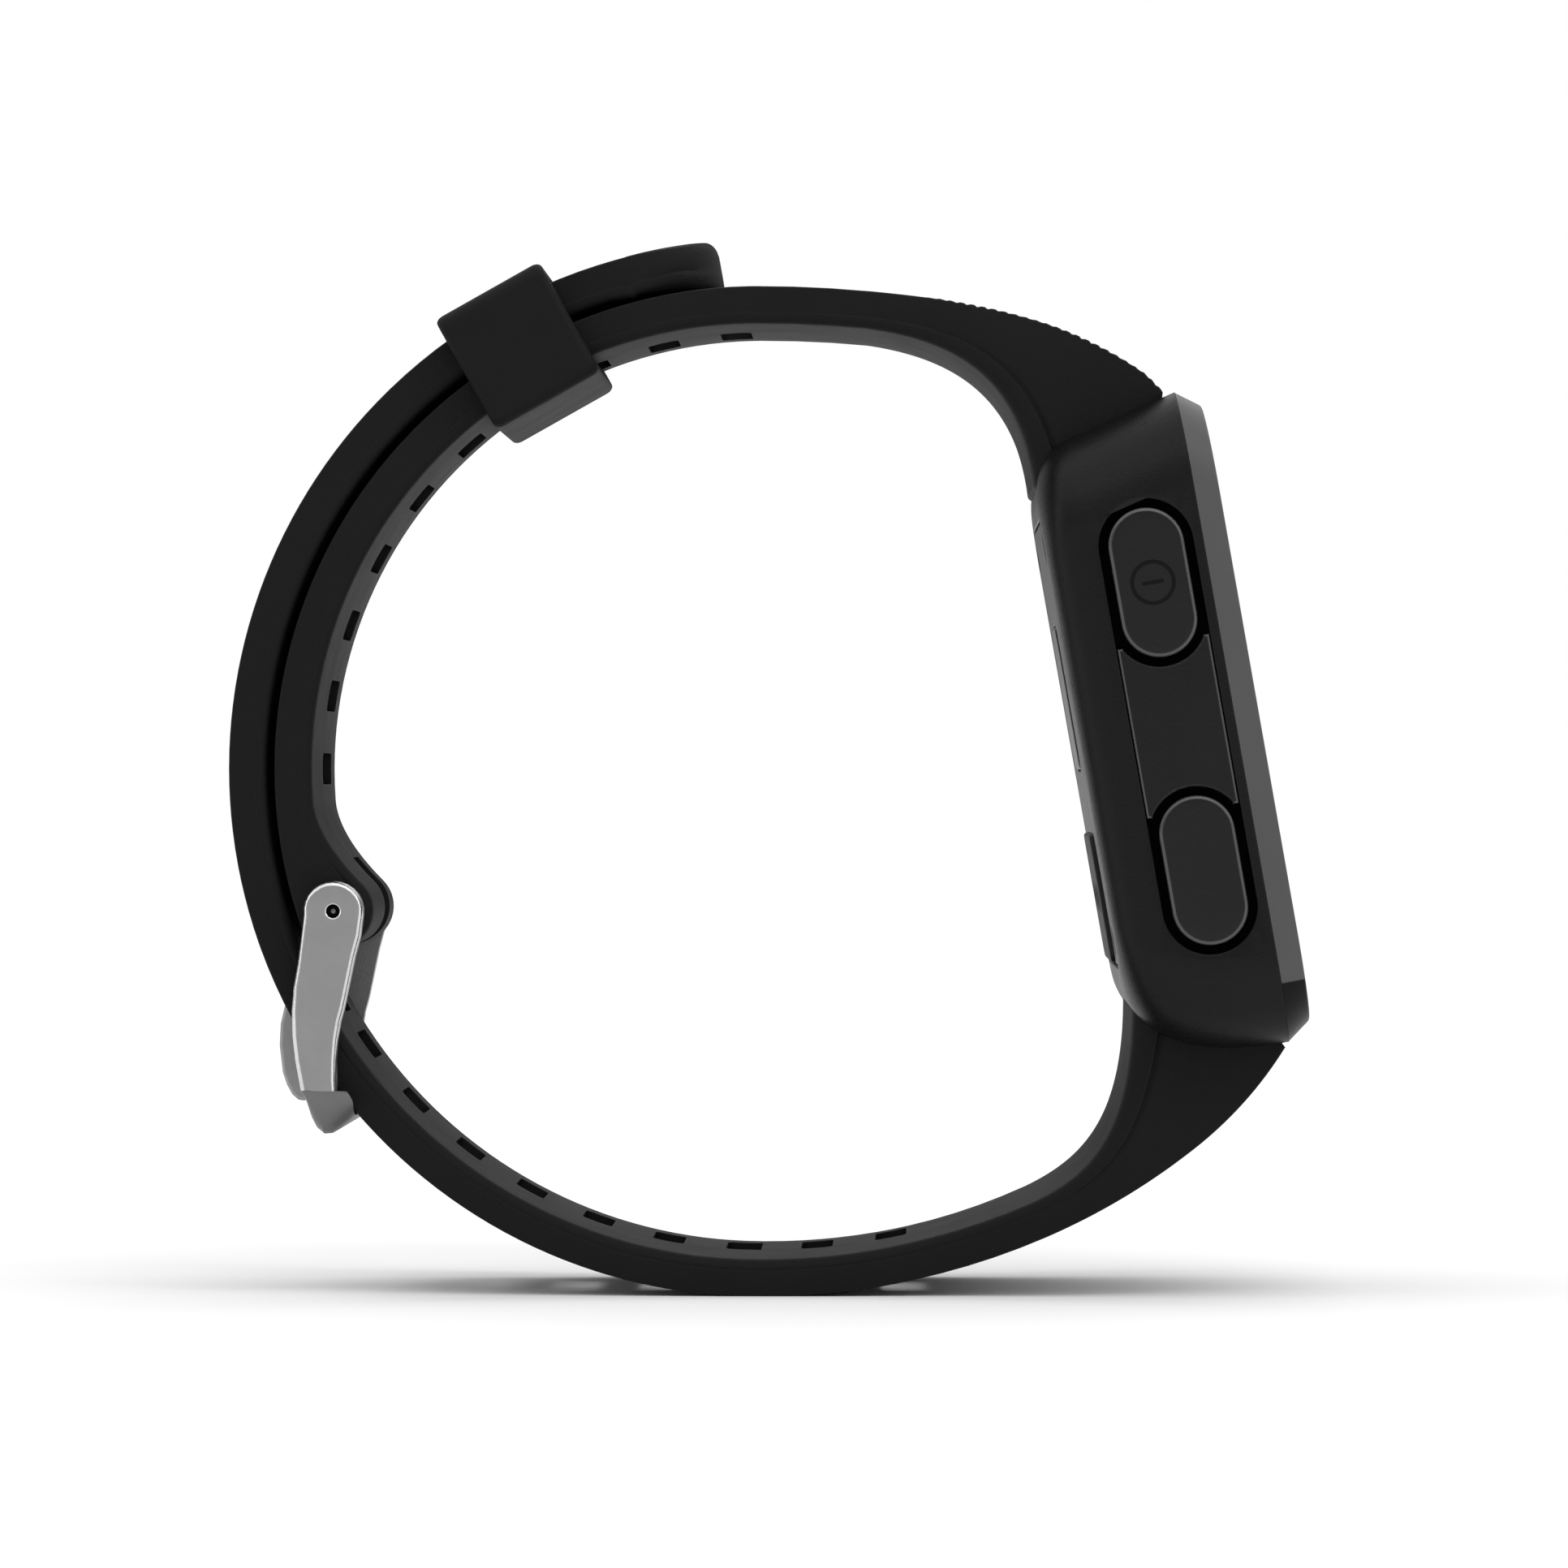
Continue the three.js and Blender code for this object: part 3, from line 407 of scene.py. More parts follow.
outer_depths = (SEAM_BACK, -1.9, -2.6, -3.6, -4.8, -6.2, -7.4, -8.6, -9.2, -9.7, -10.1, -10.45,
                -10.72, -10.9, -11.02, -11.09, -11.13, -11.15)
outer_sections = []
for x in outer_depths:
    half = case_half_width(x)
    corner = CASE_CORNER - 0.5 * (CASE_HALF_WIDTH - half)
    outer_sections.append(face_on(x, half, case_top(x), case_bottom(x), corner))
inner_sections = [
    face_on(CASE_BACK, 13.5, 14.3, -14.3, 2.9),
    face_on(CASE_BACK + 0.08, 13.4, 14.2, -14.2, 2.8),
    face_on(COVER_SEAT, 13.4, 14.2, -14.2, 2.8),
    face_on(COVER_SEAT, 11.8, 12.6, -12.6, 4.9),
    face_on(-9, 11.8, 12.6, -12.6, 4.9),
    face_on(-9, 14.4, 16, -16, 2.5),
    face_on(SEAM_BACK, 14.4, 16, -16, 2.5),
]
bm = bmesh.new()
carry_through(bm, outer_sections + inner_sections, ring_count(CORNER_STEPS), closed=True)
bmesh.ops.recalc_face_normals(bm, faces=bm.faces)
for sign in (-1, 1):
    recess(bm, sign)
finish_piece(bm, "case_shell", "watch", "case_plastic", [case_plastic, recess_painted_shade], CASE_FRAME,
             sharp=24, nodes=["mid_case"])

# ---------------------------------------------------------------- bezel
# A satin dark grey frame moulded round the screen. Its painted band stops short at the lower end,
# where the black of the chin takes over. It is bonded to the case with a hairline seam.
CHIN_START = -16.7
bezel_gloss, tree, shader = new_finish("bezel_gloss")
skin = effect(tree, grain_group, {"Fineness": 9000, "Mottle Size": 180})
marks = effect(tree, scratch_group, {"Amount": 0.015, "Density": 900})["Scratches"]
UP_THE_CASE = (-sin(radians(CASE_TILT)), 0, cos(radians(CASE_TILT)))
CASE_MIDDLE_REACH = CASE_AT.dot(UP_THE_CASE) * 0.001
CHIN_REACH = CASE_MIDDLE_REACH + CHIN_START * 0.001
CHIN_BLUR = 0.00005


def case_reach(tree):
    """How far a point stands up the case's own length, in metres."""
    return add_node(tree, "VectorMath", {
        0: object_place(tree), 1: UP_THE_CASE}, operation="DOT_PRODUCT").outputs["Value"]


painted = share_of(tree, case_reach(tree), CHIN_REACH - CHIN_BLUR, CHIN_REACH + CHIN_BLUR)
grey = blend_colour(tree, skin["Mottle"], (0.08, 0.08, 0.082), (0.09, 0.09, 0.092))
colour = blend_colour(tree, painted, (0.002, 0.002, 0.0021), grey)
gloss = maths(tree, "ADD", between(tree, skin["Mottle"], 0.38, 0.44), marks)
shader.inputs["Specular IOR Level"].default_value = 0.12
shader.inputs["Coat Weight"].default_value = 0.03
shader.inputs["Coat Roughness"].default_value = 0.15
feed(tree, shader, colour, gloss, skin["Height"], 0.3, 0.000004)

bezel_sections = [face_on(x, half_y, half_z, -half_z, corner) for x, half_y, half_z, corner in (
    (SHOULDER, CASE_HALF_WIDTH, SHOULDER_HALF_LENGTH, CASE_CORNER),
    (-1.44, CASE_HALF_WIDTH, 20.49, CASE_CORNER), (-0.14, CASE_HALF_WIDTH, 19.53, CASE_CORNER),
    (-0.04, 17.21, FACE_HALF_LENGTH, 5.56), (0, 17.11, 19.3, 5.46), (0, 15.42, 17.62, 3.72),
    (-0.03, 15.27, 17.47, 3.57), (-0.15, 15.2, 17.4, 3.5), (-1.12, 15.2, 17.4, 3.5),
    (-1.12, 14.4, 16.0, 2.5), (SHOULDER, 14.4, 16.0, 2.5))]
bm = bmesh.new()
carry_through(bm, bezel_sections, ring_count(CORNER_STEPS), closed=True)
finish_piece(bm, "bezel_frame", "watch", "bezel_gloss", [bezel_gloss], CASE_FRAME, sharp=40,
             nodes=["bezel"])

# ---------------------------------------------------------------- screen glass
# A flat toughened glass with a polished edge, printed black underneath round the live area. The
# display shows through it as a faint green-grey field.
GLASS_HALF_WIDTH = 15.1
GLASS_HALF_LENGTH = 17.3
GLASS_CORNER = 3.4
LIVE_HALF_WIDTH = 0.0105
LIVE_HALF_LENGTH = 0.0148
LIVE_BLUR = 0.00004
lens_glass, tree, shader = new_finish("lens_glass")
position = object_place(tree)
beside = add_node(tree, "SeparateXYZ", {0: position}).outputs["Y"]
from_middle = maths(tree, "SUBTRACT", case_reach(tree), CASE_MIDDLE_REACH)
live = maths(tree, "MULTIPLY", *[
    share_of(tree, maths(tree, "ABSOLUTE", distance), half + LIVE_BLUR, half)
    for distance, half in ((beside, LIVE_HALF_WIDTH), (from_middle, LIVE_HALF_LENGTH))])
cells = add_node(tree, "TexBrick", {
    "Vector": position, "Scale": 6000.0, "Color1": (0.016, 0.019, 0.016, 1),
    "Color2": (0.019, 0.022, 0.018, 1), "Mortar": (0.010, 0.011, 0.010, 1),
    "Mortar Size": 0.03, "Row Height": 0.5, "Brick Width": 0.5})
colour = blend_colour(tree, live, (0.0035, 0.0035, 0.004), cells.outputs["Color"])
smears = add_node(tree, "TexNoise", {
    "Vector": position, "Scale": 120.0, "Detail": 5.0, "Distortion": 1.5}).outputs["Fac"]
tree.links.new(colour, shader.inputs["Base Color"])
tree.links.new(between(tree, smears, 0.03, 0.11), shader.inputs["Roughness"])
shader.inputs["Coat Weight"].default_value = 0.5
shader.inputs["Coat Roughness"].default_value = 0.02
glass_sections = [
    (-1.08, 0.12), (-1.04, 0.03), (-0.95, 0), (-0.32, 0), (-0.2, 0.04), (-0.11, 0.13), (-0.08, 0.28)]
bm = bmesh.new()
carry_through(bm, [
    face_on(x, GLASS_HALF_WIDTH - inset, GLASS_HALF_LENGTH - inset, inset - GLASS_HALF_LENGTH,
            GLASS_CORNER - inset) for x, inset in glass_sections], ring_count(CORNER_STEPS))
finish_piece(bm, "screen_glass", "watch", "lens_glass", [lens_glass], CASE_FRAME, sharp=50,
             nodes=["lens"])

# ---------------------------------------------------------------- flank inlays
# The land between the two keys of a flank: a black moulded block pressed into the recess, level
# with the flank, its ends hollowed to follow the keys' round ends. Its long edges are glossy and
# painted pale as a highlight, and its corners painted paler as an edge highlight.
INLAY_HALF_WIDTH = 2.87
INLAY_HORN = 5.3
KEY_END = 6.7
MOAT_RADIUS = 2.9
HOLLOW_STEPS = 16
INLAY_HIGHLIGHT_RIM = (17.15, 17.249)
inlay_rounding = ((RECESS_FLOOR + 0.02, 0), (17.12, 0), (17.2, 0.03), (17.24, 0.08),
                  (CASE_HALF_WIDTH, 0.15))


def inlay_ring(sign, depth, inset):
    """The inlay's outline: a hollow round each key's end, between two horns."""
    radius = MOAT_RADIUS + inset
    horn = INLAY_HORN - inset
    reach = acos((KEY_END - horn) / radius)

    def place(i):
        end, step = divmod(i, HOLLOW_STEPS + 3)
        if step in (0, HOLLOW_STEPS + 2):
            a, b = (INLAY_HALF_WIDTH - inset) * (1 if step == 0 else -1), horn
        else:
            angle = reach * (1 - 2 * (step - 1) / HOLLOW_STEPS)
            a, b = radius * sin(angle), KEY_END - radius * cos(angle)
        turn = 1 if end == 0 else -1
        return (KEY_X + turn * a, sign * depth, turn * b)
    return place


# A glossy rim painted pale as a highlight, for the keys' rims and the inlays' long edges.
rim_painted_highlight = grained_finish(
    "rim_painted_highlight", (0.035, 0.035, 0.036), (0.05, 0.05, 0.051), (0.2, 0.28), 9000, 0.000004,
    specular=0.6)
# Its corners are painted paler as an edge highlight.
inlay_plastic = grained_finish(
    "inlay_plastic", (0.0044, 0.0044, 0.0046), (0.0068, 0.0068, 0.007), (0.34, 0.44), 7000, 0.000015,
    highlight_amount=2.2, highlight_colour=(0.22, 0.22, 0.222), highlight_width=0.00014, specular=0.22)
for side, sign in (("left", -1), ("right", 1)):
    bm = bmesh.new()
    carry_through(bm, [inlay_ring(sign, *section) for section in inlay_rounding],
                  2 * (HOLLOW_STEPS + 3))
    # Faces along the long edges take the painted highlight.
    for face in bm.faces:
        middle = face.calc_center_median()
        in_highlight_rim = INLAY_HIGHLIGHT_RIM[0] < middle.y * sign < INLAY_HIGHLIGHT_RIM[1]
        if in_highlight_rim and abs(middle.x - KEY_X) > INLAY_HALF_WIDTH - 0.2:
            face.material_index = 1
    finish_piece(bm, f"{side}_flank_inlay", "watch", "case_plastic", [inlay_plastic, rim_painted_highlight],
                 CASE_FRAME, nodes=[f"{side}_inlay"])

# ---------------------------------------------------------------- keys
# Four press keys in slightly glossier black plastic, a pair on each flank, domed a little, with a
# glossy rim painted pale as a highlight and corners painted paler as a glint, standing half a
# millimetre proud. Each slides in on a round stem. The upper left one carries a printed
# ring-and-bar power mark.
KEY_HALF_WIDTH = 2.35
KEY_HALF_LENGTH = 4.65
KEY_OUT = 17.75
KEY_STEPS = 12
KEY_HIGHLIGHT_RIM = (17.6, 17.746)
KEY_MIDDLE = 9
STEM_RADIUS = 1.1
STEM_LENGTH = 2.6
STEM_MIDDLE = 15.2
# Its corners are painted paler as a glint.
key_plastic = grained_finish(
    "key_plastic", (0.0055, 0.0055, 0.0057), (0.008, 0.008, 0.0082), (0.3, 0.4), 9000, 0.000008,
    highlight_amount=2.2, highlight_colour=(0.2, 0.2, 0.202), highlight_width=0.00022, scuffs=0.12, specular=0.25)
key_rounding = ((16.45, 0.15), (16.5, 0.04), (16.6, 0), (17.5, 0), (17.58, 0.015), (17.66, 0.06),
                (17.715, 0.13), (17.742, 0.22), (KEY_OUT, 0.34), (17.757, 0.8), (17.76, 1.4))
for side, sign in (("left", -1), ("right", 1)):
    for level, middle in (("upper", KEY_MIDDLE), ("lower", -KEY_MIDDLE)):
        bm = bmesh.new()
        carry_through(bm, [
            on_flank(sign, depth, KEY_HALF_WIDTH - inset, middle + KEY_HALF_LENGTH - inset,
                     middle - KEY_HALF_LENGTH + inset, KEY_HALF_WIDTH - inset - 0.005, KEY_STEPS)
            for depth, inset in key_rounding], ring_count(KEY_STEPS))
        # Faces in the rounded rim take the painted highlight.
        for face in bm.faces:
            if KEY_HIGHLIGHT_RIM[0] < face.calc_center_median().y * sign < KEY_HIGHLIGHT_RIM[1]:
                face.material_index = 1
        stem = Matrix.Translation((KEY_X, sign * STEM_MIDDLE, middle)) @ Matrix.Rotation(pi / 2, 4, "X")
        bmesh.ops.create_cone(bm, cap_ends=True, segments=32, radius1=STEM_RADIUS,
                              radius2=STEM_RADIUS, depth=STEM_LENGTH, matrix=stem)
        finish_piece(bm, f"{side}_{level}_press_key", f"{side}_{level}_key_body", "key_plastic",
                     [key_plastic, rim_painted_highlight], CASE_FRAME, nodes=[f"{side}_{level}_key"])

mark_print = grained_finish(
    "mark_print", (0.0035, 0.0035, 0.0035), (0.005, 0.005, 0.005), (0.6, 0.7), 12000, 0.000004,
    specular=0.1)
MARK_RADIUS = 1.28
MARK_LINE = 0.12
MARK_FACE = 17.757
MARK_RAISED = 0.012
MARK_BAR = 1.35
bm = bmesh.new()
corners = [bmesh.ops.create_vert(bm, co=(KEY_X + MARK_RADIUS + a, -b, KEY_MIDDLE))["vert"][0]
           for a, b in ((-MARK_LINE, MARK_FACE), (MARK_LINE, MARK_FACE),
                        (MARK_LINE, MARK_FACE + MARK_RAISED), (-MARK_LINE, MARK_FACE + MARK_RAISED))]
section = bmesh.ops.contextual_create(bm, geom=corners)["faces"]
outline = list(bm.edges)
bmesh.ops.delete(bm, geom=section, context="FACES_ONLY")
bmesh.ops.spin(bm, geom=outline, cent=(KEY_X, 0, KEY_MIDDLE), axis=(0, 1, 0), angle=2 * pi, steps=64,
               use_merge=True)
bar_size = Matrix.Diagonal((MARK_BAR, 2 * MARK_RAISED, 2 * MARK_LINE, 1))
bmesh.ops.create_cube(
    bm, size=1, matrix=Matrix.Translation((KEY_X, -MARK_FACE, KEY_MIDDLE)) @ bar_size)
finish_piece(bm, "power_mark", "left_upper_key_body", "key_plastic", [mark_print], CASE_FRAME)

# ---------------------------------------------------------------- strap, shared profile
# Both halves are moulded silicone: crisp edges on the outside, a slightly crowned wrist face with a
# soft roll, a crease where the roll meets the flat side, and slots right through. Each is drawn as
# a row of cross-sections from the case outwards.
LOOP = Vector((-0.6, 33.04))
STRAP_THICKNESS = 2.35
STRAP_HALF_WIDTH = 10
LUG_HALF_WIDTH = 12
SLOT_PITCH = 4.9
SLOT_LENGTH = 2.1
SLOT_EDGE = 3.6
TONGUE_SLOT_EDGE = 2.3
STRAP_POINTS = 32
WRIST_CROWN = 0.24
# Its edges are painted a little paler as a highlight.
strap_silicone = grained_finish(
    "strap_silicone", (0.0054, 0.0054, 0.0056), (0.0078, 0.0078, 0.008), (0.58, 0.72), 5200, 0.00003,
    mottle=320, highlight_amount=0.8, highlight_colour=(0.03, 0.03, 0.031), specular=0.12)


def arc_chain(start_angle, arcs):
    """Tangent arcs, each (radius, end angle), as (centre, radius, from, to)."""
    centre = LOOP.copy()
    angle = start_angle
    chain = []
    for radius, end in arcs:
        if chain:
            shift = chain[-1][1] - radius
            centre = centre + shift * Vector((cos(radians(angle)), sin(radians(angle))))
        chain.append((centre, radius, angle, end))
        angle = end
    return chain


def on_arc(arc, angle, offset=0):
    return arc[0] + (arc[1] + offset) * Vector((cos(radians(angle)), sin(radians(angle))))


def strap_ring(outer, wrist, half_width, roll=0.72, crease=0.05, rib=0.0, edge=0.14):
    """One cross-section, from an outer point to a wrist point in the side view."""
    inward = wrist - outer
    thick = inward.length
    inward = inward / thick
    roll = min(roll, 0.42 * thick)
    lean = min(1, half_width / STRAP_HALF_WIDTH)
    crease *= lean
    edge = min(edge, 0.25 * thick)
    side = half_width
    crown = WRIST_CROWN * lean
    half = (
        (TONGUE_SLOT_EDGE * lean, -rib), (SLOT_EDGE * lean, -rib), (side - 0.6 * lean, -rib),
        (side - edge, -rib), (side - 0.3 * edge, 0.3 * edge - rib), (side, edge),
        (side, (thick - roll) * 0.5), (side, thick - 1.12 * roll - 1.2 * crease),
        (side - crease, thick - roll), (side - 0.15 * crease, thick - 0.84 * roll - 0.3 * crease),
        (side - 0.05 * roll, thick - 0.62 * roll), (side - 0.2 * roll, thick - 0.33 * roll),
        (side - 0.46 * roll, thick - 0.11 * roll), (side - 0.8 * roll, thick),
        (SLOT_EDGE * lean, thick + 0.86 * crown), (TONGUE_SLOT_EDGE * lean, thick + crown))
    points = [(y, d) for y, d in half] + [(-y, d) for y, d in reversed(half)]

    def place(i):
        y, depth = points[i]
        at = outer + inward * depth
        return (at.x, y, at.y)
    return place


def smooth_share(x, low, high):
    t = max(0.0, min(1.0, (x - low) / (high - low)))
    return t * t * (3 - 2 * t)


def spread_points(line, count):
    """Points a given count of equal steps along a polyline."""
    lengths = [0.0]
    for a, b in zip(line, line[1:]):
        lengths.append(lengths[-1] + (b - a).length)
    out = []
    for k in range(count + 1):
        want = lengths[-1] * k / count
        past = (n for n in range(1, len(lengths)) if lengths[n] >= want - 1e-9)
        j = next(past, len(lengths) - 1)
        share = (want - lengths[j - 1]) / max(1e-9, lengths[j] - lengths[j - 1])
        out.append(line[j - 1].lerp(line[j], min(1.0, share)))
    return out


def arc_angles(start, end, marks=(), step=2.4):
    """Angles from start to end, landing on every mark, no further apart than step."""
    between_ends = [m for m in marks if min(start, end) < m < max(start, end)]
    stops = sorted({start, end, *between_ends}, reverse=start > end)
    angles = [stops[0]]
    for a, b in zip(stops, stops[1:]):
        parts = max(1, int(abs(b - a) / step + 0.999))
        angles += [a + (b - a) * k / parts for k in range(1, parts + 1)]
    return angles


def in_case(x, z):
    """A point of the case frame, in the side view of the whole watch."""
    at = MILLIMETRES.inverted() @ CASE_FRAME @ Vector((x, 0, z))
    return Vector((at.x, at.z))


def cut_slot(bm, chosen, half_width):
    """Opens a slot through the strap where chosen picks its faces by their middles."""
    faces = [f for f in bm.faces if abs(f.calc_center_median().y) < half_width
             and abs(f.normal.y) < 0.5 and chosen(f.calc_center_median())]
    if not faces:
        return []
    bmesh.ops.delete(bm, geom=faces, context="FACES")
    rims = [e for e in bm.edges
            if e.is_boundary and chosen((e.verts[0].co + e.verts[1].co) / 2, 0.12)]
    return bmesh.ops.bridge_loops(bm, edges=rims)["faces"]


def arc_window(arc, low, high):
    """Picks points lying between two angles of an arc, within the strap's thickness."""
    def chosen(at, slack=0.0):
        offset = Vector((at.x, at.z)) - arc[0]
        angle = (Vector((1, 0)).angle_signed(offset) * -180 / pi) % 360
        return (low - slack <= angle <= high + slack
                and -STRAP_THICKNESS - 0.5 < offset.length - arc[1] < 0.5)
    return chosen


def soften_slots(bm, walls):
    """Rounds the four upright corners of every slot."""
    inside = {f for f in walls if f.is_valid}
    corners = [e for e in bm.edges if len(e.link_faces) == 2
               and all(f in inside for f in e.link_faces) and e.calc_face_angle(0) > radians(60)]
    bmesh.ops.bevel(bm, geom=corners, affect="EDGES", offset=0.5, segments=4, profile=0.5,
                    material=-1)


def lug_row(outer_row, wrist_row, widths, ribs=None, sinks=None):
    """Cross-sections from the case to where the strap has its even thickness."""
    steps = len(outer_row) - 1
    out = []
    for k in range(steps, -1, -1):
        share = k / steps
        outer = outer_row[k]
        if sinks:
            outer = outer + (wrist_row[k] - outer).normalized() * sinks(outer.x)
        out.append(strap_ring(
            outer, wrist_row[k], widths(outer_row[k].x), roll=0.72 + 1.25 * share**1.3,
            crease=0.05 + 0.27 * share, rib=ribs(outer_row[k].x, share) if ribs else 0.0))
    return out


def lug_curve(points):
    return [curve_point(points, k / 60) for k in range(61)]

# ---------------------------------------------------------------- buckle strap
# The upper half, which carries the buckle. It runs from the case, down the back of the loop, and
# ends in an eye round the buckle pin, notched in the middle for the tongue. Fine moulded ribs cross
# its outer face next to the case.
PIN = Vector((-26.98, 24.13))
EYE_RADIUS = 2.38
RIB_PITCH = 0.69
RIB_HEIGHT = 0.13
BUCKLE_STRAP_RADIUS = 30.21
LUG_START = 84.6
EYE_START = 184
buckle_arcs = arc_chain(199, [
    (BUCKLE_STRAP_RADIUS, 90.1), (74, 81.6), (53.1, 74.35), (23.7, 51.5)])
slot_reach = SLOT_LENGTH / 2 / (BUCKLE_STRAP_RADIUS - STRAP_THICKNESS / 2) * 180 / pi
slot_step = SLOT_PITCH / (BUCKLE_STRAP_RADIUS - STRAP_THICKNESS / 2) * 180 / pi
buckle_slots = [180 - n * slot_step for n in range(10)]
marks = [a + d for a in buckle_slots for d in (-slot_reach, slot_reach)]

lug_outer = [on_arc(buckle_arcs[1], a) for a in arc_angles(LUG_START, 81.6, step=0.2)]
lug_outer += [on_arc(buckle_arcs[2], a) for a in arc_angles(81.6, 74.35, step=0.2)[1:]]
lug_outer += [on_arc(buckle_arcs[3], a) for a in arc_angles(74.35, 51.5, step=0.5)[1:]]
roll_start = on_arc(buckle_arcs[1], LUG_START, -STRAP_THICKNESS)
lug_wrist = lug_curve((roll_start, (12.4, 59.7), (15.9, 57), (16.75, 50.6)))
LUG_STEPS = 90


def upper_width(x):
    return STRAP_HALF_WIDTH + (LUG_HALF_WIDTH - STRAP_HALF_WIDTH) * smooth_share(x, 5, 20)


outer_row = spread_points(lug_outer, LUG_STEPS)
wrist_row = spread_points(lug_wrist, LUG_STEPS)
lug_length = sum((b - a).length for a, b in zip(outer_row, outer_row[1:]))


def rib_at(x, share):
    """How far a rib stands up, fading in past the edge of the ribbed part."""
    phase = (lug_length * share / RIB_PITCH) % 1
    return RIB_HEIGHT * max(0.0, sin(pi * phase)) ** 0.7 * smooth_share(x, 9.5, 11.5)


def sink_at(x):
    """How far the outer face lies below its arcs, so that the ribs end level with them."""
    return (0.1 * smooth_share(x, 9.5, 12) + 0.24 * smooth_share(x, 12, 25)
            + 0.25 * smooth_share(x, 23.6, 25.4))


places = [strap_ring(in_case(-2.7, 18.9), in_case(-10.2, 15.4), 11.9, roll=1.9, crease=0.3)]
places += lug_row(outer_row, wrist_row, upper_width, rib_at, sink_at)
for arc, start, end, stops in ((buckle_arcs[1], LUG_START, 90.1, ()),
                               (buckle_arcs[0], 90.1, EYE_START, marks)):
    for angle in arc_angles(start, end, stops)[1:]:
        outer = on_arc(arc, angle)
        wrist = on_arc(arc, angle, -STRAP_THICKNESS)
        places.append(strap_ring(outer, wrist, upper_width(outer.x)))


def round_pin(radius, angle):
    return PIN + radius * Vector((cos(radians(angle)), sin(radians(angle))))


eye_outer = [on_arc(buckle_arcs[0], a) for a in arc_angles(EYE_START, 199, step=0.5)]
eye_outer += [round_pin(EYE_RADIUS, a) for a in arc_angles(204, 296, step=3)]
EYE_STEPS = 40
eye_curve = (on_arc(buckle_arcs[0], EYE_START, -STRAP_THICKNESS), (-28.3, 29.2), (-26.64, 27.15),
             round_pin(EYE_RADIUS, 44))
eye_wrist = [curve_point(eye_curve, k / EYE_STEPS) for k in range(EYE_STEPS + 1)]
eye_wrist += [round_pin(EYE_RADIUS, a) for a in arc_angles(42, -58, step=3)]
eye_places = [strap_ring(o, w, STRAP_HALF_WIDTH) for o, w in zip(
    spread_points(eye_outer, EYE_STEPS)[1:], spread_points(eye_wrist, EYE_STEPS)[1:])]
NOTCH_START = len(places) + 15
bm = bmesh.new()
first = ring = start_ring(bm, STRAP_POINTS, places[0])
notch_rings = []
for n, place in enumerate((places + eye_places)[1:], 1):
    ring = carry(bm, ring, place)
    if n >= NOTCH_START:
        notch_rings.append(ring)
cap(bm, first)
cap(bm, ring)
number = bm.verts.layers.int["number"]
MIDDLE_PAIRS = ({0, 31}, {15, 16})
notch_verts = {v for r in notch_rings for e in r for v in e.verts}
notch_faces = [f for f in bm.faces if all(v in notch_verts for v in f.verts)
               and {v[number] for v in f.verts} in MIDDLE_PAIRS]
end_cap = [f for f in bm.faces
           if len(f.verts) == STRAP_POINTS and all(v in notch_verts for v in f.verts)]
bmesh.ops.delete(bm, geom=notch_faces + end_cap, context="FACES")
for a, b in ((0, 15), (31, 16)):
    chain = [e for e in bm.edges if e.is_boundary and all(v in notch_verts for v in e.verts)
             and {v[number] for v in e.verts} in ({a}, {b})]
    bmesh.ops.bridge_loops(bm, edges=chain)
bmesh.ops.holes_fill(bm, edges=[e for e in bm.edges if e.is_boundary], sides=40)
walls = []
for angle in buckle_slots:
    window = arc_window(buckle_arcs[0], angle - slot_reach, angle + slot_reach)
    walls += cut_slot(bm, window, SLOT_EDGE)
soften_slots(bm, walls)
finish_piece(bm, "upper_strap", "watch", "strap_silicone", [strap_silicone], sharp=38,
             nodes=["buckle_strap"])

# ---------------------------------------------------------------- hole strap
# The lower half, with the adjusting slots. It runs under the loop and up the outside of the buckle
# strap, through the keeper, to a tail with a rounded end.
HOLE_STRAP_RADIUS = 33.06
LOW_RADIUS = 43.54
TONGUE_SLOT = (200, 210.5)
TAIL_START = -9.5
TAIL_PLAN = ((TAIL_START, 10), (-5.6, 10), (-3.3, 7.4), (-3.3, 1.2))
TAIL_THICKENING = 0.65
TAIL_EDGE = 0.65
down = arc_chain(180, [(HOLE_STRAP_RADIUS, 268), (LOW_RADIUS, 308.5), (24.23, 328.3)])
up = arc_chain(180, [(HOLE_STRAP_RADIUS, 107.5), (59.24, 100.7)])


def slot_angles(arc, start, stop):
    step = SLOT_PITCH / (arc[1] - STRAP_THICKNESS / 2) * 180 / pi
    angles = []
    while (start - stop) * step > 0:
        angles.append(start)
        start -= step
    return angles


round_reach = SLOT_LENGTH / 2 / (HOLE_STRAP_RADIUS - STRAP_THICKNESS / 2) * 180 / pi
low_reach = SLOT_LENGTH / 2 / (LOW_RADIUS - STRAP_THICKNESS / 2) * 180 / pi
low_slots = slot_angles(down[1], 281.3, 272)
round_slots = [a for a in slot_angles(down[0], 268, 130)
               if not TONGUE_SLOT[0] < a < TONGUE_SLOT[1]]
low_marks = [a + d for a in low_slots for d in (-low_reach, low_reach)]
round_marks = [a + d for a in round_slots for d in (-round_reach, round_reach)]
round_marks += TONGUE_SLOT


def lower_width(x):
    return STRAP_HALF_WIDTH + (LUG_HALF_WIDTH - STRAP_HALF_WIDTH) * smooth_share(x, 9, 25)


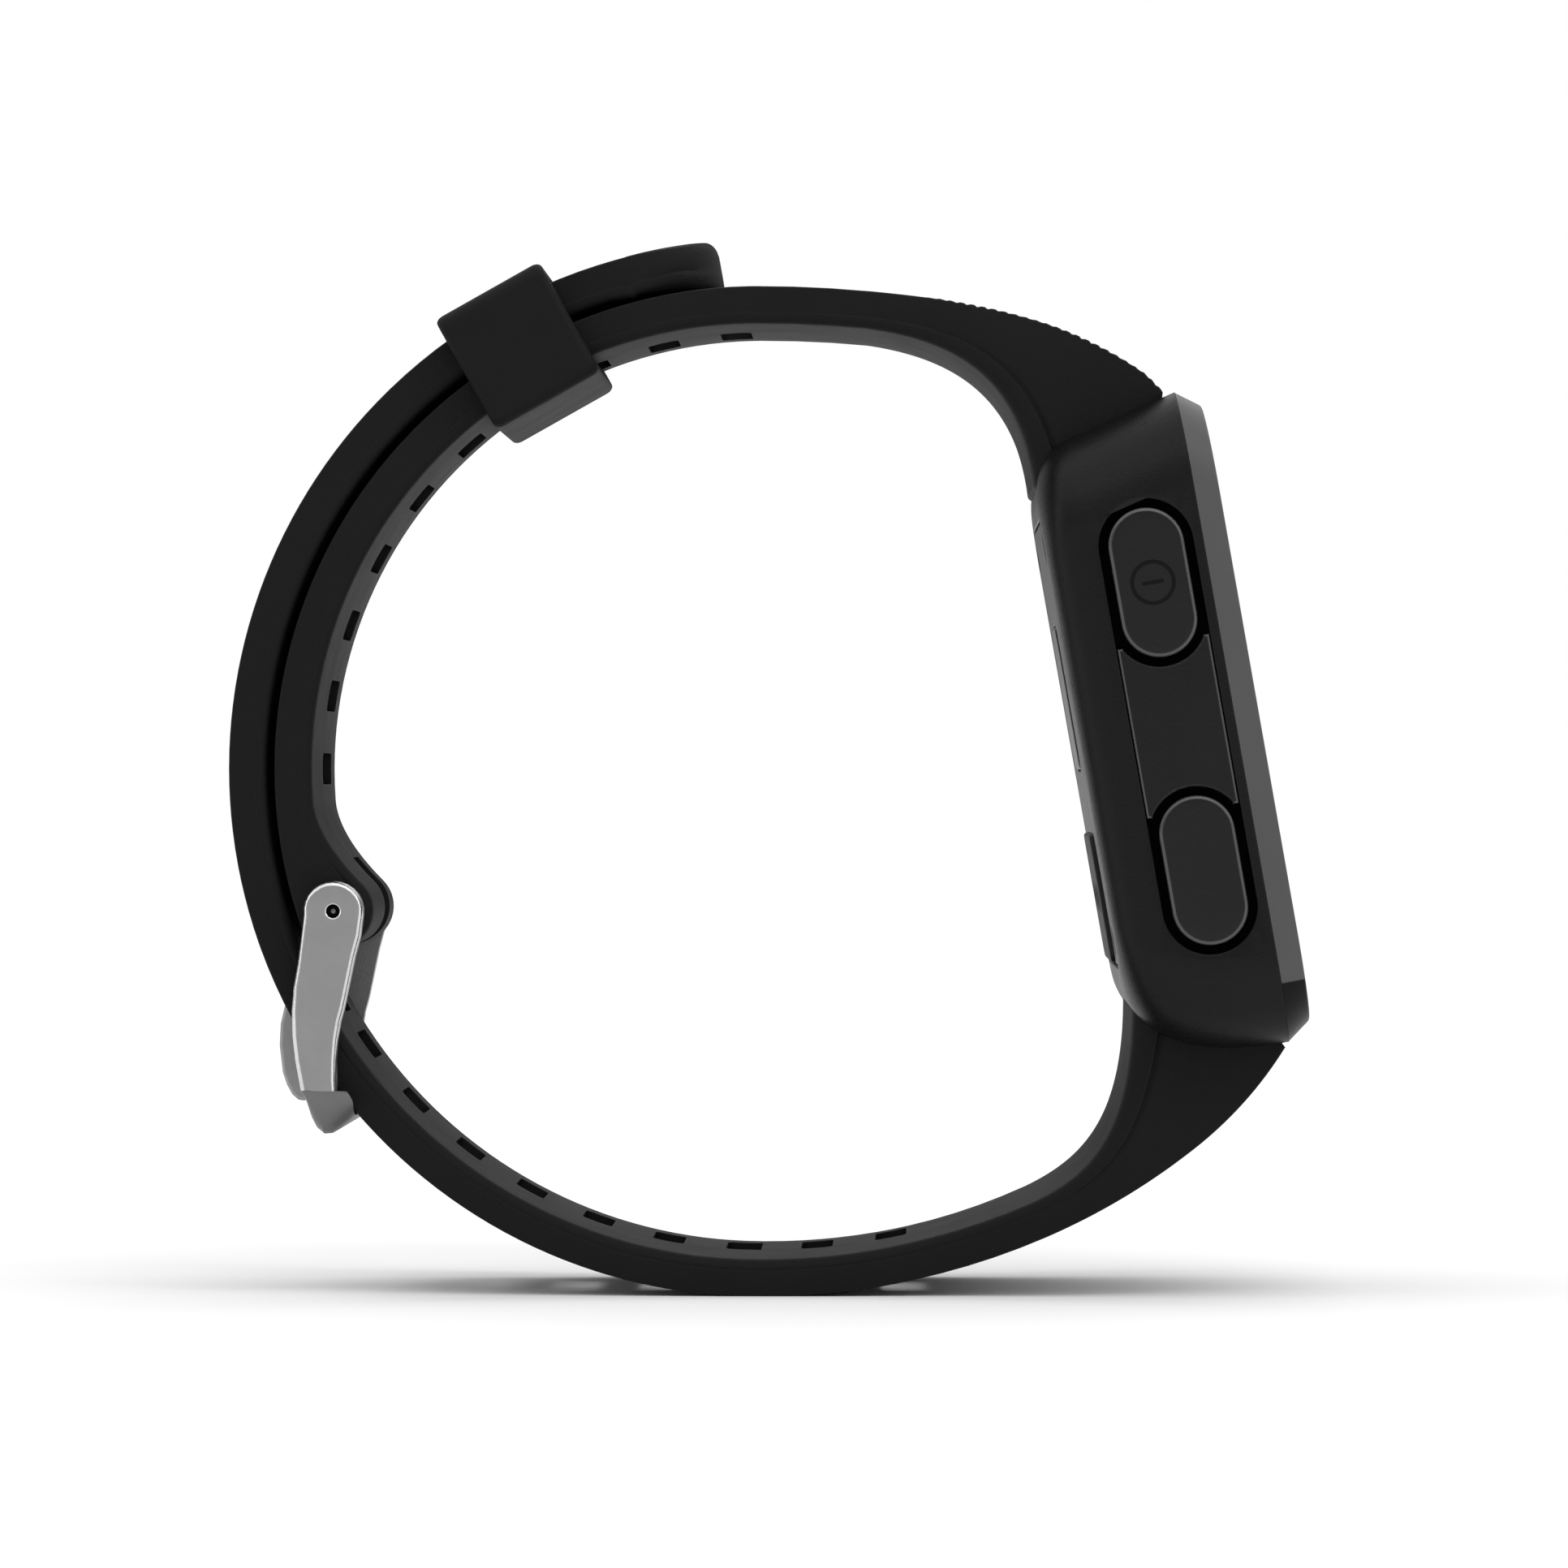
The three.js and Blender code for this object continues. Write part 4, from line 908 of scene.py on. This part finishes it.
lug_outer = [on_arc(down[1], a) for a in arc_angles(294, 308.5, step=0.3)]
lug_outer += [on_arc(down[2], a) for a in arc_angles(308.5, 328.3, step=0.5)[1:]]
roll_start = on_arc(down[1], 294, -STRAP_THICKNESS)
lug_wrist = lug_curve((roll_start, (20.6, 7.8), (22.9, 10.6), (22.9, 18.4)))
LOWER_LUG_STEPS = 36
places = [strap_ring(in_case(-2.7, -19), in_case(-9.9, -15.9), 11.9, roll=1.9, crease=0.3)]
places += lug_row(spread_points(lug_outer, LOWER_LUG_STEPS),
                  spread_points(lug_wrist, LOWER_LUG_STEPS), lower_width)
for arc, start, end, stops in ((down[1], 294, 268, low_marks), (down[0], 268, 180, round_marks),
                               (up[0], 180, 107.5, round_marks)):
    for angle in arc_angles(start, end, stops)[1:]:
        outer = on_arc(arc, angle)
        if outer.x < TAIL_START or arc is not up[0]:
            wrist = on_arc(arc, angle, -STRAP_THICKNESS)
            places.append(strap_ring(outer, wrist, lower_width(outer.x)))
for k in range(41):
    x, half_width = curve_point(TAIL_PLAN, k / 40)
    for arc in (up[0], up[1]):
        reach_x = x - arc[0].x
        height = sqrt(max(0.0, arc[1] ** 2 - reach_x**2))
        angle = Vector((1, 0)).angle_signed(Vector((reach_x, height))) * -180 / pi
        if min(arc[2], arc[3]) - 3 <= angle <= max(arc[2], arc[3]):
            break
    thicken = TAIL_THICKENING * smooth_share(-angle, -up[1][2], -up[1][3])
    into_edge = max(0.0, TAIL_EDGE - (TAIL_PLAN[-1][0] - x))
    drawn_in = TAIL_EDGE - sqrt(max(0.0, TAIL_EDGE**2 - into_edge**2))
    swell = smooth_share(x, TAIL_START, -6)
    places.append(strap_ring(
        on_arc(arc, angle, -drawn_in), on_arc(arc, angle, drawn_in - STRAP_THICKNESS - thicken),
        half_width, roll=0.72 + 0.5 * swell, crease=0.05 + 0.15 * swell,
        edge=0.14 + 0.4 * smooth_share(x, -9, -4.5)))
bm = bmesh.new()
carry_through(bm, places, STRAP_POINTS)
walls = []
for arc, reach_angle, angles in ((down[1], low_reach, low_slots),
                                 (down[0], round_reach, round_slots)):
    for angle in angles:
        walls += cut_slot(bm, arc_window(arc, angle - reach_angle, angle + reach_angle), SLOT_EDGE)
walls += cut_slot(bm, arc_window(down[0], *TONGUE_SLOT), TONGUE_SLOT_EDGE)
soften_slots(bm, walls)
finish_piece(bm, "lower_strap", "watch", "strap_silicone", [strap_silicone], sharp=38,
             nodes=["hole_strap"])

# ---------------------------------------------------------------- keeper
# A soft loop of the same silicone round both layers, moulded in one with thick rounded walls. It
# slides along the strap and holds the tail down.
KEEPER_ANGLE = 119.4
KEEPER_HALF_LENGTH = 3.74
KEEPER_OUTER_EDGE = 0.55
KEEPER_INNER_EDGE = 0.15
KEEPER_FRAME = MILLIMETRES @ Matrix.Translation((LOOP.x, 0, LOOP.y)) @ Matrix.Rotation(
    radians(90 - KEEPER_ANGLE), 4, "Y")
WALL_STEPS = 7
BAND_STEPS = 5


def keeper_ring(i):
    """One cross-section of the band, square to its run round the strap."""
    inner = rounded_point(i, WALL_STEPS, 10.35, 33.36, 27.35, 0.5)
    outer = rounded_point(i, WALL_STEPS, 12.05, 34.25, 26.35, 0.95)

    def place(n):
        quarter, step = divmod(n, BAND_STEPS + 1)
        angle = radians(90 * quarter + 90 * step / BAND_STEPS)
        wall = (Vector(outer) - Vector(inner)).length
        radius = KEEPER_OUTER_EDGE if quarter < 2 else KEEPER_INNER_EDGE
        depth_radius = min(radius / wall, 0.85)
        a = (KEEPER_HALF_LENGTH - radius) * (1 if quarter in (0, 3) else -1) + radius * cos(angle)
        share = (1 - depth_radius if quarter < 2 else depth_radius) + depth_radius * sin(angle)
        y = inner[0] + (outer[0] - inner[0]) * share
        b = inner[1] + (outer[1] - inner[1]) * share
        return (a, y, b)
    return place


bm = bmesh.new()
carry_through(bm, [keeper_ring(i) for i in range(ring_count(WALL_STEPS))],
              ring_count(BAND_STEPS), closed=True)
finish_piece(bm, "keeper_loop_band", "keeper_loop", "strap_silicone", [strap_silicone],
             KEEPER_FRAME, sharp=40, nodes=["keeper"])

# ---------------------------------------------------------------- buckle frame
# A U of stainless steel, bead-blasted, with polished rounded edges on the arms that are also painted
# brighter as a highlight. The two arms hang on the pin and a cross bar joins them below, rounded
# where it turns in and painted darker as shade. The pin bores are painted black as shade.
blasted_steel = grained_finish(
    "blasted_steel", (0.3, 0.3, 0.305), (0.36, 0.36, 0.365), (0.42, 0.52), 9000, 0.00001,
    mottle=500, metal=1)
# A darker copy of the blasted steel: painted shade, for the cross bar and the pin rod.
steel_painted_shade = grained_finish(
    "steel_painted_shade", (0.15, 0.15, 0.153), (0.2, 0.2, 0.203), (0.4, 0.5), 9000, 0.00001,
    mottle=500, metal=1)
polished_steel = grained_finish(
    "polished_steel", (0.6, 0.6, 0.605), (0.68, 0.68, 0.685), (0.2, 0.3), 12000, 0.000002,
    mottle=300, scuffs=0.25, metal=1)
# Near-black paint inside the pin bores: painted shade.
bore_painted_shade = grained_finish(
    "bore_painted_shade", (0.004, 0.004, 0.004), (0.008, 0.008, 0.008), (0.6, 0.7), 9000, 0.00001)
ARM_OUTSIDE = 12
ARM_INSIDE = 10.4
ARM_EDGE = 0.35
HEAD_RADIUS = 1.87
BAR_TOP = 12.9
BAR_TURN = 3
PIN_STEPS = 32
head = [round_pin(HEAD_RADIUS, a) for a in range(-8, 189, 14)]
arm_back = [Vector(p) for p in (
    (-29.18, 20.99), (-29.45, 19.4), (-29.56, 17.9), (-29.52, 16.3), (-29.35, 14.8),
    (-29.0, BAR_TOP))]
bar_outline = [Vector(p) for p in (
    (-28.7, 12), (-28.45, 11.1), (-28.15, 10.5), (-27.7, 10.12), (-27.2, 10.16), (-26.75, 10.42),
    (-26.1, 10.95), (-25.75, 11.3), (-26.2, 11.8), (-26.62, 12.15))]
arm_front = [Vector(p) for p in (
    (-26.82, BAR_TOP), (-26.86, 13.6), (-26.84, 14.8), (-26.74, 16.1), (-26.56, 17.2),
    (-26.3, 18.16), (-26.0, 19.6), (-25.65, 21.3), (-25.3, 22.6))]
frame_outline = head + arm_back + bar_outline + arm_front


def drawn_in_point(outline, i, inset):
    """Point i of a closed outline, drawn in square to it."""
    before, at, after = (outline[(i + k) % len(outline)] for k in (-1, 0, 1))
    along = (after - before).normalized()
    return at.x - along.y * inset, at.y + along.x * inset


def arm_place(y):
    """The outline at one side distance, rounded at the outer face and turned in along the bar."""
    over = max(0.0, abs(y) - (ARM_OUTSIDE - BAR_TURN))
    tuck = sqrt(max(0.0, BAR_TURN**2 - over**2)) / BAR_TURN
    into_edge = max(0.0, ARM_EDGE - (ARM_OUTSIDE - abs(y)))
    inset = ARM_EDGE - sqrt(max(0.0, ARM_EDGE**2 - into_edge**2))

    def place(i):
        x, z = drawn_in_point(frame_outline, i, inset)
        return (x, y, z if z >= BAR_TOP else BAR_TOP - (BAR_TOP - z) * tuck)
    return place


bm = bmesh.new()
number = bm.verts.layers.int.new("number")
bar_start = len(head) + len(arm_back)
bar_numbers = set(range(bar_start - 1, bar_start + len(bar_outline) + 1))
side_ring = ring = start_ring(bm, len(frame_outline), arm_place(-ARM_OUTSIDE))
for y in (-11.985, -11.95, -11.88, -11.78, -11.65, -11.45, -11.2, -10.9, -ARM_INSIDE):
    ring = carry(bm, ring, arm_place(y))
ring_verts = {v for e in ring for v in e.verts}
bmesh.ops.contextual_create(bm, geom=[v for v in ring_verts if v.co.z > BAR_TOP - 1e-4])
bar_ring = [e for e in ring if all(v[number] in bar_numbers for v in e.verts)]
bar_ring += [e for e in bm.edges if not e.is_wire and all(
    v in ring_verts and abs(v.co.z - BAR_TOP) < 1e-4 for v in e.verts)]
bar_ring = list(set(bar_ring))
for y in (-10.1, -9.7, -9.35, -9, 0):
    bar_ring = carry(bm, bar_ring, arm_place(y))
side_face = cap(bm, side_ring)[0]


def round_the_pin(y, radius):
    """A circle square to the pin, as a place for each point."""
    return lambda i: (PIN.x + radius * cos(2 * pi * i / PIN_STEPS), y,
                      PIN.y + radius * sin(2 * pi * i / PIN_STEPS))


open_hole(bm, side_face, sink_pocket(bm, PIN_STEPS, [
    round_the_pin(-ARM_OUTSIDE + depth, radius)
    for depth, radius in ((0, 0.5), (0.05, 0.44), (1.2, 0.44))]))
# Bores take painted shade, the arms' rounded rims a painted highlight, the cross bar painted shade.
for face in bm.faces:
    away = face.calc_center_median() - Vector((PIN.x, -ARM_OUTSIDE, PIN.y))
    if sqrt(away.x**2 + away.z**2) < 0.46 and 0.06 < away.y < 1.3:
        face.material_index = 1
    elif away.z + PIN.y > BAR_TOP and 0 < away.y < ARM_EDGE and abs(face.normal.y) < 0.97:
        face.material_index = 2
    elif away.z + PIN.y < BAR_TOP + 0.05:
        face.material_index = 3
bmesh.ops.mirror(bm, geom=bm.verts[:] + bm.edges[:] + bm.faces[:], axis="Y", merge_dist=0.001)
finish_piece(bm, "buckle_bow", "buckle", "blasted_steel",
             [blasted_steel, bore_painted_shade, polished_steel, steel_painted_shade], sharp=30, nodes=["buckle_frame"])

# ---------------------------------------------------------------- buckle pin
# A steel rod through the strap's eye, turned down at each end to sit in the arms, painted darker all
# over as shade.
rod_sections = [(-11.7, 0.12), (-11.67, 0.18), (-11.6, 0.2), (-11, 0.2), (-10.9, 0.4),
                (-10.3, 0.4), (-10.25, 0.6), (-10.15, 0.65)]
rod_sections += [(-y, radius) for y, radius in reversed(rod_sections)]
bm = bmesh.new()
carry_through(bm, [round_the_pin(*section) for section in rod_sections], PIN_STEPS)
finish_piece(bm, "buckle_rod", "watch", "polished_steel", [steel_painted_shade], sharp=50,
             nodes=["buckle_pin"])

# ---------------------------------------------------------------- buckle tongue
# A bent steel strip that wraps the pin, passes out through a slot and bears on the cross bar, with
# its edges rounded over.
TONGUE_HALF_WIDTH = 1.8
WRAP_RADIUS = 1.62
tongue_outline = [round_pin(WRAP_RADIUS, a) for a in range(20, 176, 12)]
tongue_outline += [Vector(p) for p in (
    (-29.0, 22.2), (-29.35, 20.9), (-30.15, 19.6), (-30.75, 18.2), (-31.08, 16.8), (-31.15, 15.4),
    (-30.95, 13.7), (-30.68, 12.9), (-30.35, 12.3), (-29.95, 11.95), (-29.6, 11.9),
    (-29.25, 11.98), (-29.1, 12.25), (-29.4, 13.1), (-29.75, 14), (-29.9, 15.6), (-29.75, 16.7),
    (-29.4, 17.6), (-28.75, 18.9), (-27.95, 20.5), (-27.5, 22.0))]
tongue_outline += [round_pin(WRAP_RADIUS, a) for a in range(270, 371, 12)]


def tongue_ring(y, inset):
    """The outline at one side distance, drawn in by inset."""
    def place(i):
        x, z = drawn_in_point(tongue_outline, i, inset)
        return (x, y, z)
    return place


tongue_sides = [(TONGUE_HALF_WIDTH - within, inset)
                for within, inset in ((0.22, 0), (0.11, 0.04), (0.03, 0.12), (0, 0.22))]
tongue_sides = [(-y, inset) for y, inset in reversed(tongue_sides)] + tongue_sides
bm = bmesh.new()
carry_through(bm, [tongue_ring(*section) for section in tongue_sides], len(tongue_outline))
finish_piece(bm, "buckle_prong", "tongue", "polished_steel", [blasted_steel], sharp=40,
             nodes=["buckle_tongue"])

# ---------------------------------------------------------------- back cover
# A flat moulded cover screwed into the back at its corners, with a dark window for the sensor and a
# raised block that carries the four charging contacts.
BACK_STEPS = 8
COVER_HALF_WIDTH = 13.2
COVER_HALF_LENGTH = 14
COVER_CORNER = 2.5
COVER_SCREWS = [(y, z) for y in (-11.7, 11.7) for z in (-12.4, 12.4)]
CONTACT_PITCH = 3.2


def back_circle(x, radius, y, z):
    """A circle facing out of the back, as a place for each point."""
    count = ring_count(BACK_STEPS)
    return lambda i: (x, y + radius * cos(2 * pi * i / count), z + radius * sin(2 * pi * i / count))


def back_rectangle(x, half_y, half_z, corner, z, inset):
    """A rounded rectangle on the back, drawn in by inset."""
    return face_on(x, half_y - inset, z + half_z - inset, z - half_z + inset, corner - inset,
                   BACK_STEPS)


def back_pocket(bm, places):
    return sink_pocket(bm, ring_count(BACK_STEPS), places)


def outermost_face(bm):
    bmesh.ops.recalc_face_normals(bm, faces=bm.faces)
    return min(bm.faces, key=lambda f: f.calc_center_median().x)


bm = bmesh.new()
carry_through(bm, [
    back_rectangle(x, COVER_HALF_WIDTH, COVER_HALF_LENGTH, COVER_CORNER, 0, inset)
    for x, inset in ((COVER_SEAT + 0.02, 0), (-11.05, 0), (-11.12, 0.03), (CASE_BACK, 0.12))],
    ring_count(BACK_STEPS))
back_face = outermost_face(bm)
mouths = []
for shape in ((5.7, 4.7, 1.9, 3), (8.1, 3.95, 1.1, -9.7)):
    mouths += back_pocket(bm, [back_rectangle(x, *shape, inset)
                               for x, inset in ((CASE_BACK, -0.08), (-11.1, 0), (-10.6, 0))])
for y, z in COVER_SCREWS:
    mouths += back_pocket(bm, [back_circle(x, radius, y, z) for x, radius in (
        (CASE_BACK, 1.0), (-11.1, 0.94), (-10.7, 0.94))])
open_hole(bm, back_face, mouths)
finish_piece(bm, "case_back_cover", "watch", "case_plastic", [case_plastic], CASE_FRAME, sharp=40,
             nodes=["back_cover"])

window_glass = grained_finish(
    "window_glass", (0.003, 0.002, 0.003), (0.005, 0.004, 0.005), (0.3, 0.38), 3000, 0.000001,
    mottle=600, specular=0.12)
carrier_plastic = grained_finish(
    "carrier_plastic", (0.008, 0.008, 0.0082), (0.012, 0.012, 0.0122), (0.5, 0.62), 6000, 0.00002,
    specular=0.2)
for name, slot, finish, shape, proud, node in (
        ("sensor_glass", "lens_glass", window_glass, (5.6, 4.6, 1.8, 3), 0.1, "sensor_window"),
        ("charging_block", "carrier_plastic", carrier_plastic, (8, 4.1, 1, -9.8), 0.3,
         "contact_block")):
    bm = bmesh.new()
    back = CASE_BACK - proud
    carry_through(bm, [back_rectangle(x, *shape, inset) for x, inset in (
        (-10.58, 0), (back + 0.16, 0), (back + 0.05, 0.05), (back, 0.17))], ring_count(BACK_STEPS))
    if node == "contact_block":
        face = outermost_face(bm)
        mouths = []
        for step in (-1.5, -0.5, 0.5, 1.5):
            mouths += back_pocket(bm, [
                back_circle(x, radius, step * CONTACT_PITCH, shape[3])
                for x, radius in ((back, 1.0), (back + 0.06, 0.93), (back + 0.35, 0.93))])
        open_hole(bm, face, mouths)
    finish_piece(bm, name, "watch", slot, [finish], CASE_FRAME, sharp=40, nodes=[node])

# ---------------------------------------------------------------- inner parts
# Everything sealed inside the case, and the small metal parts on its back, keep their machined
# shapes. Each takes the finish of what it is made of.
seal_rubber = grained_finish(
    "seal_rubber", (0.01, 0.01, 0.01), (0.016, 0.016, 0.016), (0.6, 0.75), 4000, 0.00002)
tinned_steel = grained_finish(
    "tinned_steel", (0.5, 0.5, 0.49), (0.6, 0.6, 0.59), (0.28, 0.42), 5000, 0.000008,
    metal=1, scuffs=0.3)
gold_contact = grained_finish(
    "gold_contact", (0.62, 0.42, 0.13), (0.72, 0.5, 0.18), (0.18, 0.3), 8000, 0.000004,
    metal=1, scuffs=0.3)
antenna_ceramic = grained_finish(
    "antenna_ceramic", (0.42, 0.33, 0.24), (0.52, 0.42, 0.31), (0.55, 0.7), 3000, 0.00002,
    mottle=900)
battery_foil = grained_finish(
    "battery_foil", (0.5, 0.51, 0.53), (0.62, 0.63, 0.65), (0.3, 0.48), 900, 0.00008,
    mottle=400, metal=0.9)
display_glass = grained_finish(
    "display_glass", (0.006, 0.008, 0.007), (0.01, 0.012, 0.01), (0.06, 0.14), 9000, 0.000002)

circuit_board, tree, shader = new_finish("circuit_board")
traces = add_node(tree, "TexVoronoi", {
    "Vector": object_place(tree), "Scale": 700.0}, distance="CHEBYCHEV")
copper = share_of(tree, traces.outputs["Distance"], 0.42, 0.46)
colour = blend_colour(tree, copper, (0.012, 0.075, 0.03), (0.03, 0.14, 0.05))
feed(tree, shader, colour, between(tree, copper, 0.35, 0.5), copper, 0.5, 0.00003)

slot_finishes = {
    "seal_rubber": seal_rubber, "tinned_steel": tinned_steel, "gold_contact": gold_contact,
    "antenna_ceramic": antenna_ceramic, "battery_foil": battery_foil, "display_glass": display_glass,
    "circuit_board": circuit_board, "carrier_plastic": carrier_plastic, "polished_steel": polished_steel,
    "blasted_steel": blasted_steel, "case_plastic": case_plastic, "key_plastic": key_plastic,
    "bezel_gloss": bezel_gloss, "lens_glass": lens_glass, "strap_silicone": strap_silicone}
for entry in frame["record"]["materials"]:
    for name in entry.get("nodes", []):
        node = frame["nodes"][name]
        for material_slot in node.material_slots:
            material_slot.material = slot_finishes[entry["slot"]]

# ---------------------------------------------------------------- floor and light
# A flat white floor under a broad overhead light, with strip boxes at the right, the left and the
# front that draw the edges.
FLOOR_HALF_WIDTH = 6
LIGHT_AIM = (0, 0, 0.04)
floor_paint, tree, shader = new_finish("floor_paint")
speckle = add_node(tree, "TexNoise", {"Vector": object_place(tree), "Scale": 40.0})
tree.links.new(blend_colour(tree, speckle.outputs["Fac"], (0.86, 0.86, 0.86), (0.88, 0.88, 0.88)),
               shader.inputs["Base Color"])
shader.inputs["Roughness"].default_value = 0.9
shader.inputs["Specular IOR Level"].default_value = 0.0
bm = bmesh.new()
bmesh.ops.create_grid(bm, x_segments=1, y_segments=1, size=FLOOR_HALF_WIDTH)
floor_mesh = bpy.data.meshes.new("floor")
bm.to_mesh(floor_mesh)
bm.free()
floor_mesh.materials.append(floor_paint)
floor = bpy.data.objects.new("floor", floor_mesh)
scene.collection.objects.link(floor)


def softbox(name, at, width, height, power):
    light = bpy.data.lights.new(name, "AREA")
    light.shape = "RECTANGLE"
    light.size, light.size_y = width, height
    light.energy = power
    stand = bpy.data.objects.new(name, light)
    stand.location = at
    stand.rotation_euler = (Vector(LIGHT_AIM) - Vector(at)).to_track_quat("-Z", "Y").to_euler()
    scene.collection.objects.link(stand)


softbox("right_box", (0.6, -0.3, 0.22), 0.12, 0.45, 0.6)
softbox("left_box", (-0.6, -0.1, 0.15), 0.14, 0.35, 0.35)
softbox("front_box", (0.15, -0.4, 0.6), 0.5, 0.12, 0.5)
overhead = bpy.data.lights.new("overhead", "SUN")
overhead.energy = 2.7
overhead.angle = radians(135)
overhead_stand = bpy.data.objects.new("overhead", overhead)
overhead_stand.rotation_euler = (radians(-4), radians(3), 0)
scene.collection.objects.link(overhead_stand)

world = bpy.data.worlds.new("studio")
scene.world = world
world.use_nodes = True
tree = world.node_tree
background = tree.nodes["Background"]
seen = add_node(tree, "LightPath").outputs["Is Camera Ray"]
white = add_node(tree, "Background", {"Color": (1, 1, 1, 1), "Strength": 1.0})
background.inputs["Color"].default_value = (1, 1, 1, 1)
background.inputs["Strength"].default_value = 0.33
mixed = add_node(tree, "MixShader", {0: seen, 1: background.outputs[0], 2: white.outputs[0]})
tree.links.new(mixed.outputs[0], tree.nodes["World Output"].inputs["Surface"])
scene.view_settings.view_transform = "Standard"
